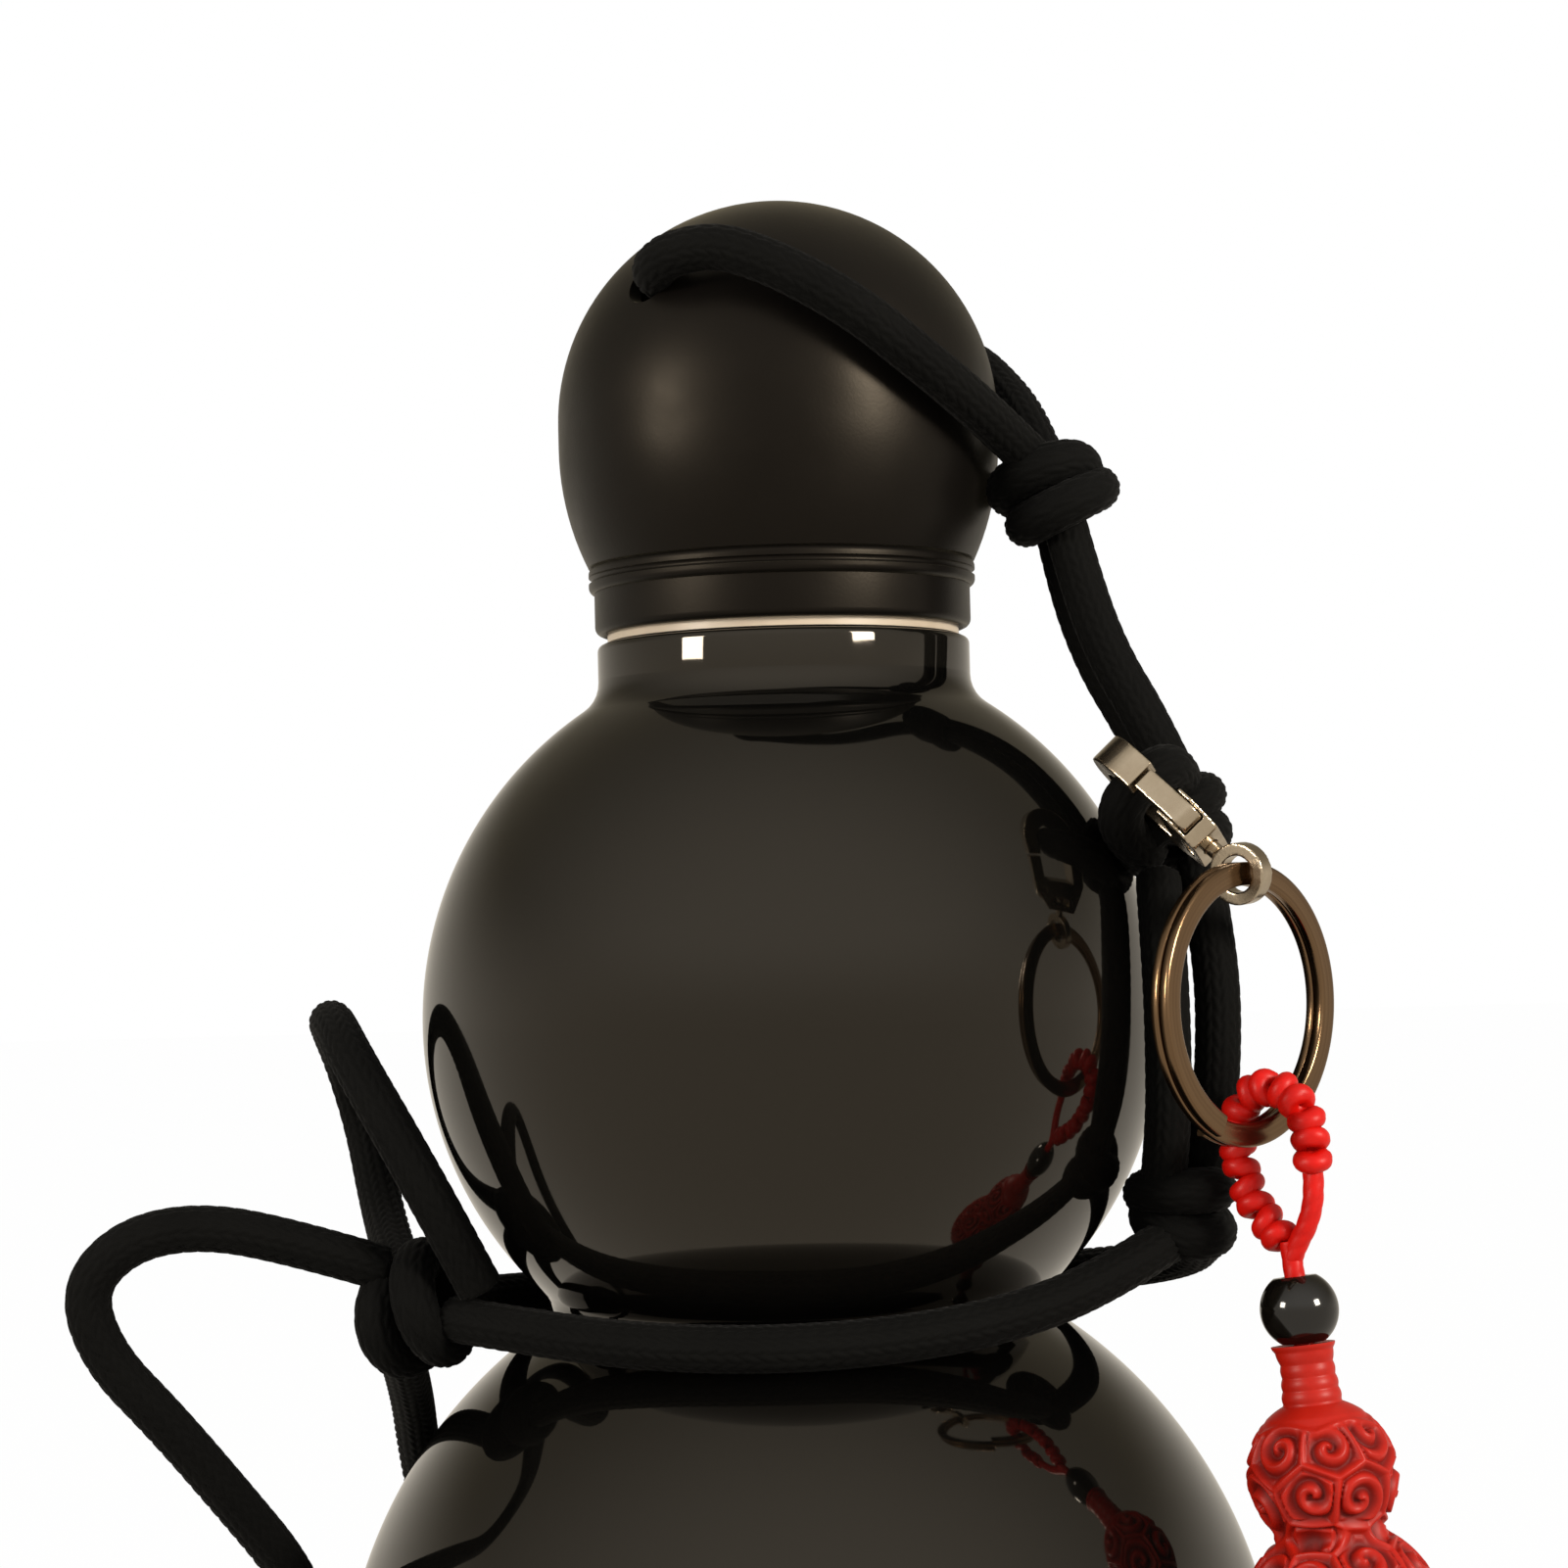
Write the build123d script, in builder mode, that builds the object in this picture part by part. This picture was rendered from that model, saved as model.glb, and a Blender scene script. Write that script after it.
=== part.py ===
from build123d import *
import os
from math import pi, sqrt, tan

os.makedirs("parts", exist_ok=True)

# Bottle: two blown bulbs, a waist between them and a straight neck band. All lengths are millimetres.
low_bulb_radius = 47.2
low_bulb_centre = 37.7
top_bulb_radius = 37.5
bulb_spacing = 70.2
bottle_wall = 2.2
waist_round = 2.5
base_edge_round = 1.2
neck_band_radius = 19.0
neck_band_height = 5.8
ledge_round = 0.7
shoulder_round = 3.6
finish_radius = 15.7
finish_height = 14.0
finish_wall = 2.4
lip_round = 0.8

# Screw thread, cut alike on the neck and in the cap
thread_lead = 4.2
thread_turns = 1.5
thread_depth = 1.0
thread_root_width = 1.8
thread_crest_width = 1.0
thread_gap = 0.3
thread_start = 2.9
thread_sink = 0.25
insert_thread_turn = 180

# Cap: a hollow ball on a ringed collar, with a threaded cup and a sealing disc inside
cap_ball_bulge = 2.75
cap_ball_rise = 22.5
cap_cheek_drop = 2.4
cap_wall = 1.4
collar_step = 0.55
collar_height = 2.7
collar_groove_width = 0.7
collar_groove_depth = 0.35
skirt_wall = 1.2
skirt_height = 4.2
skirt_round = 0.8
cap_lift = 1.0
insert_wall = 0.95
insert_top_wall = 1.4
insert_reach = 0.8
insert_fit_gap = 0.05
seat_ring_width = 1.5
seat_ring_height = 1.2
seal_thickness = 1.45
seal_gap = 0.05
seal_side_gap = 0.4
cord_hole_radius = 2.65
cord_hole_rise = 12.6
cord_hole_way = Vector(12.3, 14.3, 0)

# Braided cord, its knots and where they sit
cord_diameter = 4.5
bend_share = 0.45
bight_half_run = 5.2
bight_low_end_shares = (-0.58, -0.51, -0.59)
bight_high_end_shares = (0.09, -0.44, 0.67)
knot_cap = Vector(28.3, -6.3, 160.2)
knot_clasp = Vector(38.4, -9.4, 126.4)
knot_side = Vector(38.2, -13.4, 88.0)
knot_strap = Vector(-38.6, -9.6, 80.2)

# Lumps of each knot: place from its centre, then radius, all as shares of the cord's diameter
cap_knot_shares = [
    (0, 0, 0, 0.96),
    (0.58, 0.04, 0.36, 0.76),
    (-0.8, -0.22, -0.49, 0.58),
    (0, -0.58, 0, 0.67),
    (0.04, 0.62, 0.09, 0.67),
]
side_knot_shares = [
    (0, 0, 0, 1.02),
    (0.58, 0, 0.13, 0.64),
    (-0.53, -0.36, 0.36, 0.62),
    (-0.27, -0.18, -0.58, 0.62),
]
strap_knot_shares = [
    (0, 0, 0, 1.07),
    (-0.76, -0.09, -0.36, 0.76),
    (1.07, -0.89, 0.22, 0.71),
    (0.8, -0.8, -0.53, 0.62),
    (-0.09, -0.22, 0.76, 0.67),
]
clasp_knot_shares = [
    (0, 0, 0, 0.93),
    (0.71, 0.09, 0.22, 0.67),
    (-0.5, -0.1, -0.5, 0.5),
    (-0.13, -0.09, 0.71, 0.76),
]

# Lobster clasp, from the crown of its hook to the hole of its eye
clasp_crown = Vector(31.0, -16.8, 133.2)
clasp_eye = Vector(42.5, -25.3, 121.0)
clasp_thickness = 3.2
hook_half_width = 4.85
hook_throat_radius = 2.6
throat_length = 5.4
nose_length = 6.4
hook_length = 14.8
hook_tail_half_width = 2.6
gate_gap = 0.35
gate_width = 2.1
gate_half_thickness = 1.15
gate_slot_gap = 0.1
pin_setback = 2.9
pin_radius = 0.55
pin_running_gap = 0.06
gate_boss_radius = 1.55
spring_pocket_radius = 1.2
spring_pocket_height = 0.9
spring_wire_radius = 0.14
spring_coil_radius = 0.88
spring_pitch = 0.34
spring_turns = 1.5
rivet_radius = 0.8
rivet_gap = 0.05
rivet_head_radius = 1.3
rivet_head_height = 0.7
rivet_pocket_length = 0.9
rivet_wall = 1.1
eye_hole_radius = 1.75
eye_wire = 1.2
eye_thickness = 1.8

# Split ring: flat wire wound twice
ring_outer_radius = 13.4
ring_wire_width = 2.2
ring_wire_thickness = 1.0
ring_turns = 2.0
ring_turn_gap = 0.05
ring_end_slope = 2.0

# Charm: red cord loop with snake knots, glossy bead, carved gourd and a stop knot
charm_tilt = Vector(0.096, -0.096, -0.991)
charm_shift_along_ring = 3.9
charm_cord_radius = 1.0
snake_core_radius = 1.35
snake_bead_radius = 1.8
snake_bead_shares = (0.25, 0.75)
charm_join_drop = 11.3
bead_radius = 3.7
bead_height = 6.2
bead_drop = 17.3
charm_bore_gap = 0.08
gourd_neck_radius = 3.0
gourd_neck_length = 6.6
gourd_neck_ribs = 5
gourd_rib_depth = 0.35
gourd_small_radius = 7.1
gourd_small_drop = 32.6
gourd_large_radius = 9.6
gourd_bulb_lap = 2.9
gourd_waist_round = 1.2
gourd_foot_radius = 3.2
end_knot_radius = 2.0
charm_seat_gap = 0.1

# Places that follow from the sizes above
top_bulb_centre = low_bulb_centre + bulb_spacing
shoulder_height = top_bulb_centre + sqrt(top_bulb_radius**2 - neck_band_radius**2)
ledge = shoulder_height + neck_band_height
finish_top = ledge + finish_height
mouth_radius = finish_radius - finish_wall
skirt_bottom = ledge + cap_lift
collar_bottom = skirt_bottom + skirt_height
collar_top = collar_bottom + collar_height
insert_root_radius = finish_radius + thread_depth + thread_gap
insert_outer_radius = insert_root_radius + insert_wall
seal_bottom = finish_top + seal_gap
insert_ceiling = seal_bottom + seal_thickness
insert_top = insert_ceiling + insert_top_wall
insert_bottom = skirt_bottom - insert_reach
shell_bore = insert_outer_radius + insert_fit_gap
skirt_radius = shell_bore + skirt_wall
collar_radius = skirt_radius + collar_step
cap_ball_radius = collar_radius + cap_ball_bulge
cap_ball_centre = ledge + cap_ball_rise
cord_hole_height = cap_ball_centre + cord_hole_rise
cord_radius = cord_diameter / 2
thread_travel = thread_lead * thread_turns


def arc_through(centre, radius, start, end):
    """Arc of under half a turn about a centre, from one point of the circle to another."""
    chord_middle = (Vector(*start) + Vector(*end)) * 0.5
    outward = (chord_middle - Vector(*centre)).normalized()
    return ThreePointArc(start, Vector(*centre) + outward * radius, end)


def at_radius(centre_height, ball_radius, radius):
    """Height of the upper side of a ball at a distance from its axis."""
    return centre_height + sqrt(ball_radius**2 - radius**2)


def meeting_point(first_height, first_reach, second_height, second_reach):
    """Point at given distances from two centres on the axis: radius, then height."""
    spacing = second_height - first_height
    rise = (first_reach**2 - second_reach**2 + spacing**2) / (2 * spacing)
    return sqrt(first_reach**2 - rise**2), first_height + rise


def toward(centre_height, point, share):
    """Point at a share of the way from a centre on the axis to another point."""
    return point[0] * share, centre_height + (point[1] - centre_height) * share


def thread_ridge(root_radius, depth, start_height):
    """One helical ridge: a trapezoid carried up the thread's helix. Negative depth points inwards."""
    sink = thread_sink if depth > 0 else -thread_sink
    with BuildPart() as ridge:
        with BuildLine() as helix:
            Helix(thread_lead, thread_travel, root_radius, center=(0, 0, start_height))
        section_plane = Plane(
            origin=helix.line @ 0, x_dir=(1, 0, 0), z_dir=helix.line % 0
        )
        with BuildSketch(section_plane):
            with BuildLine():
                Polyline(
                    (-sink, -thread_root_width / 2),
                    (0, -thread_root_width / 2),
                    (depth, -thread_crest_width / 2),
                    (depth, thread_crest_width / 2),
                    (0, thread_root_width / 2),
                    (-sink, thread_root_width / 2),
                    close=True,
                )
            make_face()
        sweep(path=helix.line, is_frenet=True)
    return ridge.part


def bend_radii(points):
    """Largest tangent arc that each corner's two runs allow."""
    radii = []
    for before, corner, after in zip(points, points[1:], points[2:]):
        run_in = Vector(*corner) - Vector(*before)
        run_out = Vector(*after) - Vector(*corner)
        half_turn = run_in.get_angle(run_out) / 2 * pi / 180
        radii.append(bend_share * min(run_in.length, run_out.length) / tan(half_turn))
    return radii


def cord_tube(points, radius):
    """Round cord along straight runs joined by tangent arcs."""
    radii = bend_radii(points)
    with BuildPart() as tube:
        with BuildLine() as route:
            FilletPolyline(*points, radius=radii)
        with BuildSketch(Plane(origin=route.line @ 0, z_dir=route.line % 0)):
            Circle(radius)
        sweep(path=route.line)
    length = sum(stretch.length for stretch in route.edges())
    ideal = pi * radius**2 * length
    print(
        f"  cord length {length:.1f}, least bend {min(radii):.1f},"
        f" volume over ideal {tube.part.volume / ideal:.4f}"
    )
    return tube.part


def lumps(centre, shares):
    """Closed solid of overlapping balls, sized in cord diameters: the packed form of a knot."""
    with BuildPart() as knot:
        for across, back, up, ball in shares:
            with Locations(centre + Vector(across, back, up) * cord_diameter):
                Sphere(ball * cord_diameter)
    return knot.part


def save(piece, name):
    """Label one piece and write it under its name."""
    piece.label = name
    export_step(piece, f"parts/{name}.step")
    print(name, f"{piece.volume:.1f}", len(piece.solids()))


# Bottle: one revolved wall with the waist as a rolled-in crease, welded from a lower bulb, an upper bulb
# and a threaded neck, so it is drawn whole and parted at the two seams
waist = meeting_point(
    low_bulb_centre, low_bulb_radius + waist_round, top_bulb_centre, top_bulb_radius + waist_round
)
base_radius = sqrt(low_bulb_radius**2 - low_bulb_centre**2)
inner_low = low_bulb_radius - bottle_wall
inner_top = top_bulb_radius - bottle_wall
inner_base_radius = sqrt(inner_low**2 - (low_bulb_centre - bottle_wall) ** 2)
low_tangent = toward(low_bulb_centre, waist, low_bulb_radius / (low_bulb_radius + waist_round))
top_tangent = toward(top_bulb_centre, waist, top_bulb_radius / (top_bulb_radius + waist_round))
inner_low_tangent = toward(low_bulb_centre, waist, inner_low / (low_bulb_radius + waist_round))
inner_top_tangent = toward(top_bulb_centre, waist, inner_top / (top_bulb_radius + waist_round))
shoulder = (neck_band_radius, shoulder_height)
inner_shoulder = (mouth_radius, at_radius(top_bulb_centre, inner_top, mouth_radius))

waist_seam = Plane.XY.offset(waist[1])
neck_seam = Plane.XY.offset(shoulder_height + shoulder_round)

with BuildPart() as bottle_wall_whole:
    with BuildSketch(Plane.XZ) as wall_section:
        with BuildLine():
            Line((0, 0), (base_radius, 0))
            arc_through((0, low_bulb_centre), low_bulb_radius, (base_radius, 0), low_tangent)
            arc_through(waist, waist_round, low_tangent, top_tangent)
            arc_through((0, top_bulb_centre), top_bulb_radius, top_tangent, shoulder)
            Polyline(
                shoulder,
                (neck_band_radius, ledge),
                (finish_radius, ledge),
                (finish_radius, finish_top),
                (mouth_radius, finish_top),
                inner_shoulder,
            )
            arc_through((0, top_bulb_centre), inner_top, inner_shoulder, inner_top_tangent)
            arc_through(waist, waist_round + bottle_wall, inner_top_tangent, inner_low_tangent)
            arc_through(
                (0, low_bulb_centre), inner_low, inner_low_tangent, (inner_base_radius, bottle_wall)
            )
            Polyline((inner_base_radius, bottle_wall), (0, bottle_wall), (0, 0))
        make_face()
        corners = wall_section.vertices()
        fillet(corners.sort_by_distance((base_radius, 0))[0], base_edge_round)
        fillet(corners.sort_by_distance(shoulder)[0], shoulder_round)
        fillet(corners.sort_by_distance((neck_band_radius, ledge))[0], ledge_round)
        fillet(corners.sort_by_distance((finish_radius, finish_top))[0], lip_round)
        fillet(corners.sort_by_distance((mouth_radius, finish_top))[0], lip_round)
    revolve(axis=Axis.Z)

with BuildPart() as bottle_lower_bulb:
    add(bottle_wall_whole.part)
    split(bisect_by=waist_seam, keep=Keep.BOTTOM)
save(bottle_lower_bulb.part, "bottle_lower_bulb")

with BuildPart() as bottle_upper_bulb:
    add(bottle_wall_whole.part)
    split(bisect_by=waist_seam, keep=Keep.TOP)
    split(bisect_by=neck_seam, keep=Keep.BOTTOM)
save(bottle_upper_bulb.part, "bottle_upper_bulb")

neck_thread = thread_ridge(finish_radius, thread_depth, ledge + thread_start)
with BuildPart() as bottle_neck:
    add(bottle_wall_whole.part)
    split(bisect_by=neck_seam, keep=Keep.TOP)
    add(neck_thread)
save(bottle_neck.part, "bottle_neck")

# Cap shell: ball above, fuller cheek below it, ringed collar and skirt, hollow inside, cord hole across
cheek_top = cap_ball_centre - cap_cheek_drop
cheek_rise = cheek_top - collar_top
cheek_inset = cap_ball_radius - collar_radius
cheek_radius = (cheek_inset**2 + cheek_rise**2) / (2 * cheek_inset)
cavity_radius = cap_ball_radius - cap_wall
seat_top = insert_top + seat_ring_height
seat_bore = insert_outer_radius - seat_ring_width
cavity_foot_radius = sqrt(cavity_radius**2 - (seat_top - cap_ball_centre) ** 2)
groove_middle = collar_bottom + collar_height / 2
groove_edge = collar_groove_width / 2

with BuildPart() as cap_shell:
    with BuildSketch(Plane.XZ) as cap_section:
        with BuildLine():
            arc_through(
                (0, cap_ball_centre),
                cap_ball_radius,
                (0, cap_ball_centre + cap_ball_radius),
                (cap_ball_radius, cap_ball_centre),
            )
            Line((cap_ball_radius, cap_ball_centre), (cap_ball_radius, cheek_top))
            arc_through(
                (cap_ball_radius - cheek_radius, cheek_top),
                cheek_radius,
                (cap_ball_radius, cheek_top),
                (collar_radius, collar_top),
            )
            Polyline(
                (collar_radius, collar_top),
                (collar_radius, groove_middle + groove_edge),
                (collar_radius - collar_groove_depth, groove_middle),
                (collar_radius, groove_middle - groove_edge),
                (collar_radius, collar_bottom),
                (skirt_radius, collar_bottom),
                (skirt_radius, skirt_bottom),
                (shell_bore, skirt_bottom),
                (shell_bore, insert_top),
                (seat_bore, insert_top),
                (seat_bore, seat_top),
                (cavity_foot_radius, seat_top),
            )
            cavity_shoulder = (cavity_radius, cap_ball_centre)
            arc_through((0, cap_ball_centre), cavity_radius, (cavity_foot_radius, seat_top), cavity_shoulder)
            arc_through(
                (0, cap_ball_centre), cavity_radius, cavity_shoulder, (0, cap_ball_centre + cavity_radius)
            )
            Line((0, cap_ball_centre + cavity_radius), (0, cap_ball_centre + cap_ball_radius))
        make_face()
        fillet(cap_section.vertices().sort_by_distance((skirt_radius, skirt_bottom))[0], skirt_round)
    revolve(axis=Axis.Z)
    with Locations(Plane(origin=(0, 0, cord_hole_height), z_dir=cord_hole_way)):
        Cylinder(cord_hole_radius, 2 * cap_ball_radius, mode=Mode.SUBTRACT)
save(cap_shell.part, "cap_shell")

# Threaded cup pressed into the cap: its ridge starts half a turn from the neck's, so the two mesh
insert_thread = thread_ridge(insert_root_radius, -thread_depth, ledge + thread_start)
insert_thread = insert_thread.rotate(Axis.Z, insert_thread_turn)

with BuildPart() as cap_thread_insert:
    with BuildSketch(Plane.XZ):
        with BuildLine():
            Polyline(
                (0, insert_top),
                (insert_outer_radius, insert_top),
                (insert_outer_radius, insert_bottom),
                (insert_root_radius, insert_bottom),
                (insert_root_radius, insert_ceiling),
                (0, insert_ceiling),
                close=True,
            )
        make_face()
    revolve(axis=Axis.Z)
    add(insert_thread)
save(cap_thread_insert.part, "cap_thread_insert")

# Soft sealing disc under the cup's ceiling
with BuildPart() as cap_seal:
    with BuildSketch(Plane.XY.offset(seal_bottom)):
        Circle(insert_root_radius - seal_side_gap)
    extrude(amount=seal_thickness)
save(cap_seal.part, "cap_seal")

# Lobster clasp: the frame of its hook, with local X along it and local Y to its spine
clasp_way = (clasp_eye - clasp_crown).normalized()
clasp_side_axis = clasp_way.cross(Vector(0, 1, 0)).normalized()
clasp_plane = Plane(origin=clasp_crown, x_dir=clasp_way, z_dir=clasp_side_axis)
eye_distance = (clasp_eye - clasp_crown).length
throat_end = hook_half_width + throat_length
pin_x = hook_length - pin_setback
pin_y = gate_boss_radius - hook_half_width
slot_half_thickness = gate_half_thickness + gate_slot_gap
rivet_pocket_end = hook_length - rivet_wall
rivet_pocket_start = rivet_pocket_end - rivet_pocket_length
pin_plane = Plane(origin=clasp_plane.from_local_coords((pin_x, pin_y, 0)), z_dir=clasp_side_axis)

with BuildPart() as clasp_hook_body:
    with BuildSketch(clasp_plane.offset(-clasp_thickness / 2)):
        with Locations((hook_half_width, 0)):
            Circle(hook_half_width)
        with BuildLine():
            Polyline(
                (hook_half_width, -hook_half_width),
                (pin_x, -hook_half_width),
                (hook_length, -hook_tail_half_width),
                (hook_length, hook_tail_half_width),
                (throat_end, hook_half_width),
                (hook_half_width, hook_half_width),
                close=True,
            )
        make_face()
        with Locations((hook_half_width, 0)):
            Circle(hook_throat_radius, mode=Mode.SUBTRACT)
            Rectangle(
                throat_length,
                2 * hook_throat_radius,
                align=(Align.MIN, Align.CENTER),
                mode=Mode.SUBTRACT,
            )
        with Locations((nose_length, -hook_throat_radius)):
            Rectangle(
                throat_end - nose_length,
                2 * hook_half_width,
                align=(Align.MIN, Align.MAX),
                mode=Mode.SUBTRACT,
            )
    extrude(amount=clasp_thickness)
    with BuildSketch(clasp_plane.offset(-slot_half_thickness)):
        with Locations((throat_end, pin_y + gate_boss_radius + gate_slot_gap)):
            Rectangle(
                pin_x + gate_boss_radius + gate_slot_gap - throat_end,
                2 * hook_half_width,
                align=(Align.MIN, Align.MAX),
            )
    extrude(amount=2 * slot_half_thickness, mode=Mode.SUBTRACT)
    with BuildSketch(clasp_plane.offset(-clasp_thickness)):
        with Locations((rivet_pocket_start, 0)):
            Rectangle(
                rivet_pocket_length,
                2 * (rivet_head_radius + gate_slot_gap),
                align=(Align.MIN, Align.CENTER),
            )
    extrude(amount=2 * clasp_thickness, mode=Mode.SUBTRACT)
    with Locations(Plane(origin=clasp_plane.from_local_coords((hook_length, 0, 0)), z_dir=clasp_way)):
        Cylinder(rivet_radius + rivet_gap, 2 * rivet_wall + rivet_gap, mode=Mode.SUBTRACT)
    with Locations(pin_plane):
        Cylinder(pin_radius, 2 * clasp_thickness, mode=Mode.SUBTRACT)
save(clasp_hook_body.part, "clasp_hook_body")

# Gate: a lever on the pin, closing on the nose, with a pocket for its spring
with BuildPart() as clasp_gate:
    with BuildSketch(clasp_plane.offset(-gate_half_thickness)):
        with Locations((nose_length + gate_gap, -hook_half_width)):
            Rectangle(pin_x - nose_length - gate_gap, gate_width, align=(Align.MIN, Align.MIN))
        with Locations((pin_x, pin_y)):
            Circle(gate_boss_radius)
    extrude(amount=2 * gate_half_thickness)
    with Locations(pin_plane):
        Cylinder(pin_radius + pin_running_gap, 2 * clasp_thickness, mode=Mode.SUBTRACT)
        Cylinder(spring_pocket_radius, spring_pocket_height, mode=Mode.SUBTRACT)
save(clasp_gate.part, "clasp_gate")

with BuildPart() as clasp_gate_pin:
    with Locations(pin_plane):
        Cylinder(pin_radius, clasp_thickness)
save(clasp_gate_pin.part, "clasp_gate_pin")

# Torsion spring round the pin, inside the gate's pocket
with BuildPart() as spring_coil:
    with BuildLine() as coil:
        spring_height = spring_pitch * spring_turns
        Helix(spring_pitch, spring_height, spring_coil_radius, center=(0, 0, -spring_height / 2))
    with BuildSketch(Plane(origin=coil.line @ 0, z_dir=coil.line % 0)):
        Circle(spring_wire_radius)
    sweep(path=coil.line, is_frenet=True)
clasp_gate_spring = spring_coil.part.moved(pin_plane.location)
save(clasp_gate_spring, "clasp_gate_spring")

# Split ring: it hangs straight down through the eye, turned half way between face on and edge on
ring_tangent = Vector(1, 1, 0).normalized()
ring_face = Vector(1, -1, 0).normalized()
ring_wire_radius = ring_outer_radius - ring_wire_width / 2
ring_centre = clasp_eye - Vector(0, 0, ring_wire_radius)
ring_pitch = ring_wire_thickness + ring_turn_gap
ring_start_way = ring_tangent * -1 - Vector(0, 0, ring_end_slope)

with BuildPart() as ring_wire:
    with BuildLine() as ring_helix:
        ring_height = ring_pitch * ring_turns
        Helix(ring_pitch, ring_height, ring_wire_radius, center=(0, 0, -ring_height / 2))
    with BuildSketch(
        Plane(origin=ring_helix.line @ 0, x_dir=(1, 0, 0), z_dir=ring_helix.line % 0)
    ):
        Rectangle(ring_wire_width, ring_wire_thickness)
    sweep(path=ring_helix.line, is_frenet=True)
ring_plane = Plane(origin=ring_centre, x_dir=ring_start_way, z_dir=ring_face)
split_ring = ring_wire.part.moved(ring_plane.location)
save(split_ring, "split_ring")

# Swivel eye: rivet head, shank through the hook's tail and a round eye for the ring
eye_axis = (ring_tangent - clasp_way * ring_tangent.dot(clasp_way)).normalized()
eye_plane = Plane(origin=clasp_eye, x_dir=clasp_way, z_dir=eye_axis)
eye_outer_radius = eye_hole_radius + eye_wire
head_start = rivet_pocket_start + (rivet_pocket_length - rivet_head_height) / 2
head_plane = Plane(origin=clasp_crown + clasp_way * head_start, z_dir=clasp_way)

with BuildPart() as clasp_swivel_eye:
    with BuildSketch(eye_plane.offset(-eye_thickness / 2)):
        Circle(eye_outer_radius)
    extrude(amount=eye_thickness)
    with Locations(head_plane):
        Cylinder(rivet_head_radius, rivet_head_height, align=(Align.CENTER, Align.CENTER, Align.MIN))
        Cylinder(
            rivet_radius, eye_distance - head_start, align=(Align.CENTER, Align.CENTER, Align.MIN)
        )
    with Locations(eye_plane):
        Cylinder(eye_hole_radius, 2 * eye_thickness, mode=Mode.SUBTRACT)
save(clasp_swivel_eye.part, "clasp_swivel_eye")

# Charm: its own upright plane through the ring's wire, local Y up along the charm
charm_up = charm_tilt.normalized() * -1
charm_drop_in_ring = sqrt(ring_wire_radius**2 - charm_shift_along_ring**2)
charm_top = ring_centre + ring_tangent * charm_shift_along_ring - Vector(0, 0, charm_drop_in_ring)
charm_across = (ring_face - charm_up * ring_face.dot(charm_up)).normalized()
charm_plane = Plane(origin=charm_top, x_dir=charm_across, z_dir=charm_across.cross(charm_up))
bead_bottom = bead_drop + bead_height / 2
gourd_top_drop = bead_bottom + charm_seat_gap
gourd_large_drop = gourd_small_drop + gourd_small_radius + gourd_large_radius - gourd_bulb_lap
gourd_foot_drop = gourd_large_drop + sqrt(gourd_large_radius**2 - gourd_foot_radius**2)
end_knot_drop = gourd_foot_drop + charm_seat_gap + end_knot_radius
charm_bore_radius = charm_cord_radius + charm_bore_gap


def charm_level(drop):
    """Plane square to the charm's axis, a given way down from the ring's wire."""
    return Plane(origin=charm_top - charm_up * drop, z_dir=charm_up)


plain_leg_points = [
    charm_plane.from_local_coords(point)
    for point in [(4.6, -2.0, 0), (4.5, -4.8, 0), (3.2, -8.2, 0), (0.7, -11.2, 0)]
]
snake_points = [
    charm_plane.from_local_coords(point)
    for point in [
        (-0.5, -11.0, 0),
        (-3.2, -8.0, 0),
        (-4.5, -4.2, 0),
        (-4.5, 0.2, 0),
        (-2.3, 3.8, 0),
        (1.8, 4.1, 0),
        (4.5, 1.2, 0),
        (4.7, -2.4, 0),
    ]
]

charm_loop_cord = cord_tube(plain_leg_points, charm_cord_radius)
save(charm_loop_cord, "charm_loop_cord")

snake_core = cord_tube(snake_points, snake_core_radius)
snake_bead_places = [
    near + (far - near) * share
    for near, far in zip(snake_points, snake_points[1:])
    for share in snake_bead_shares
]
with BuildPart() as charm_snake_knots:
    add(snake_core)
    for place in snake_bead_places:
        with Locations(place):
            Sphere(snake_bead_radius)
save(charm_snake_knots.part, "charm_snake_knots")

with BuildPart() as charm_tail_cord:
    with Locations(charm_level(charm_join_drop)):
        Cylinder(
            charm_cord_radius,
            end_knot_drop - charm_join_drop,
            align=(Align.CENTER, Align.CENTER, Align.MAX),
        )
save(charm_tail_cord.part, "charm_tail_cord")

with BuildPart() as charm_bead:
    with Locations(charm_level(bead_drop)):
        Sphere(bead_radius)
        Cylinder(2 * bead_radius, bead_height, mode=Mode.INTERSECT)
        Cylinder(charm_bore_radius, 2 * bead_radius, mode=Mode.SUBTRACT)
save(charm_bead.part, "charm_bead")

with BuildPart() as charm_gourd:
    with Locations(charm_level(gourd_small_drop)):
        Sphere(gourd_small_radius)
    with Locations(charm_level(gourd_large_drop)):
        Sphere(gourd_large_radius)
    fillet(charm_gourd.edges().filter_by(GeomType.CIRCLE), gourd_waist_round)
    with Locations(charm_level(gourd_top_drop)):
        Cylinder(
            gourd_neck_radius,
            gourd_small_drop - gourd_top_drop,
            align=(Align.CENTER, Align.CENTER, Align.MAX),
        )
    rib_pitch = gourd_neck_length / gourd_neck_ribs
    for rib in range(gourd_neck_ribs):
        with Locations(charm_level(gourd_top_drop + rib_pitch * (rib + 0.5))):
            Torus(gourd_neck_radius, gourd_rib_depth)
    with Locations(charm_level(gourd_foot_drop)):
        Cylinder(
            gourd_large_radius,
            gourd_large_radius,
            align=(Align.CENTER, Align.CENTER, Align.MAX),
            mode=Mode.SUBTRACT,
        )
    with Locations(charm_level(gourd_small_drop)):
        Cylinder(charm_bore_radius, 2 * gourd_foot_drop, mode=Mode.SUBTRACT)
save(charm_gourd.part, "charm_gourd")

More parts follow.
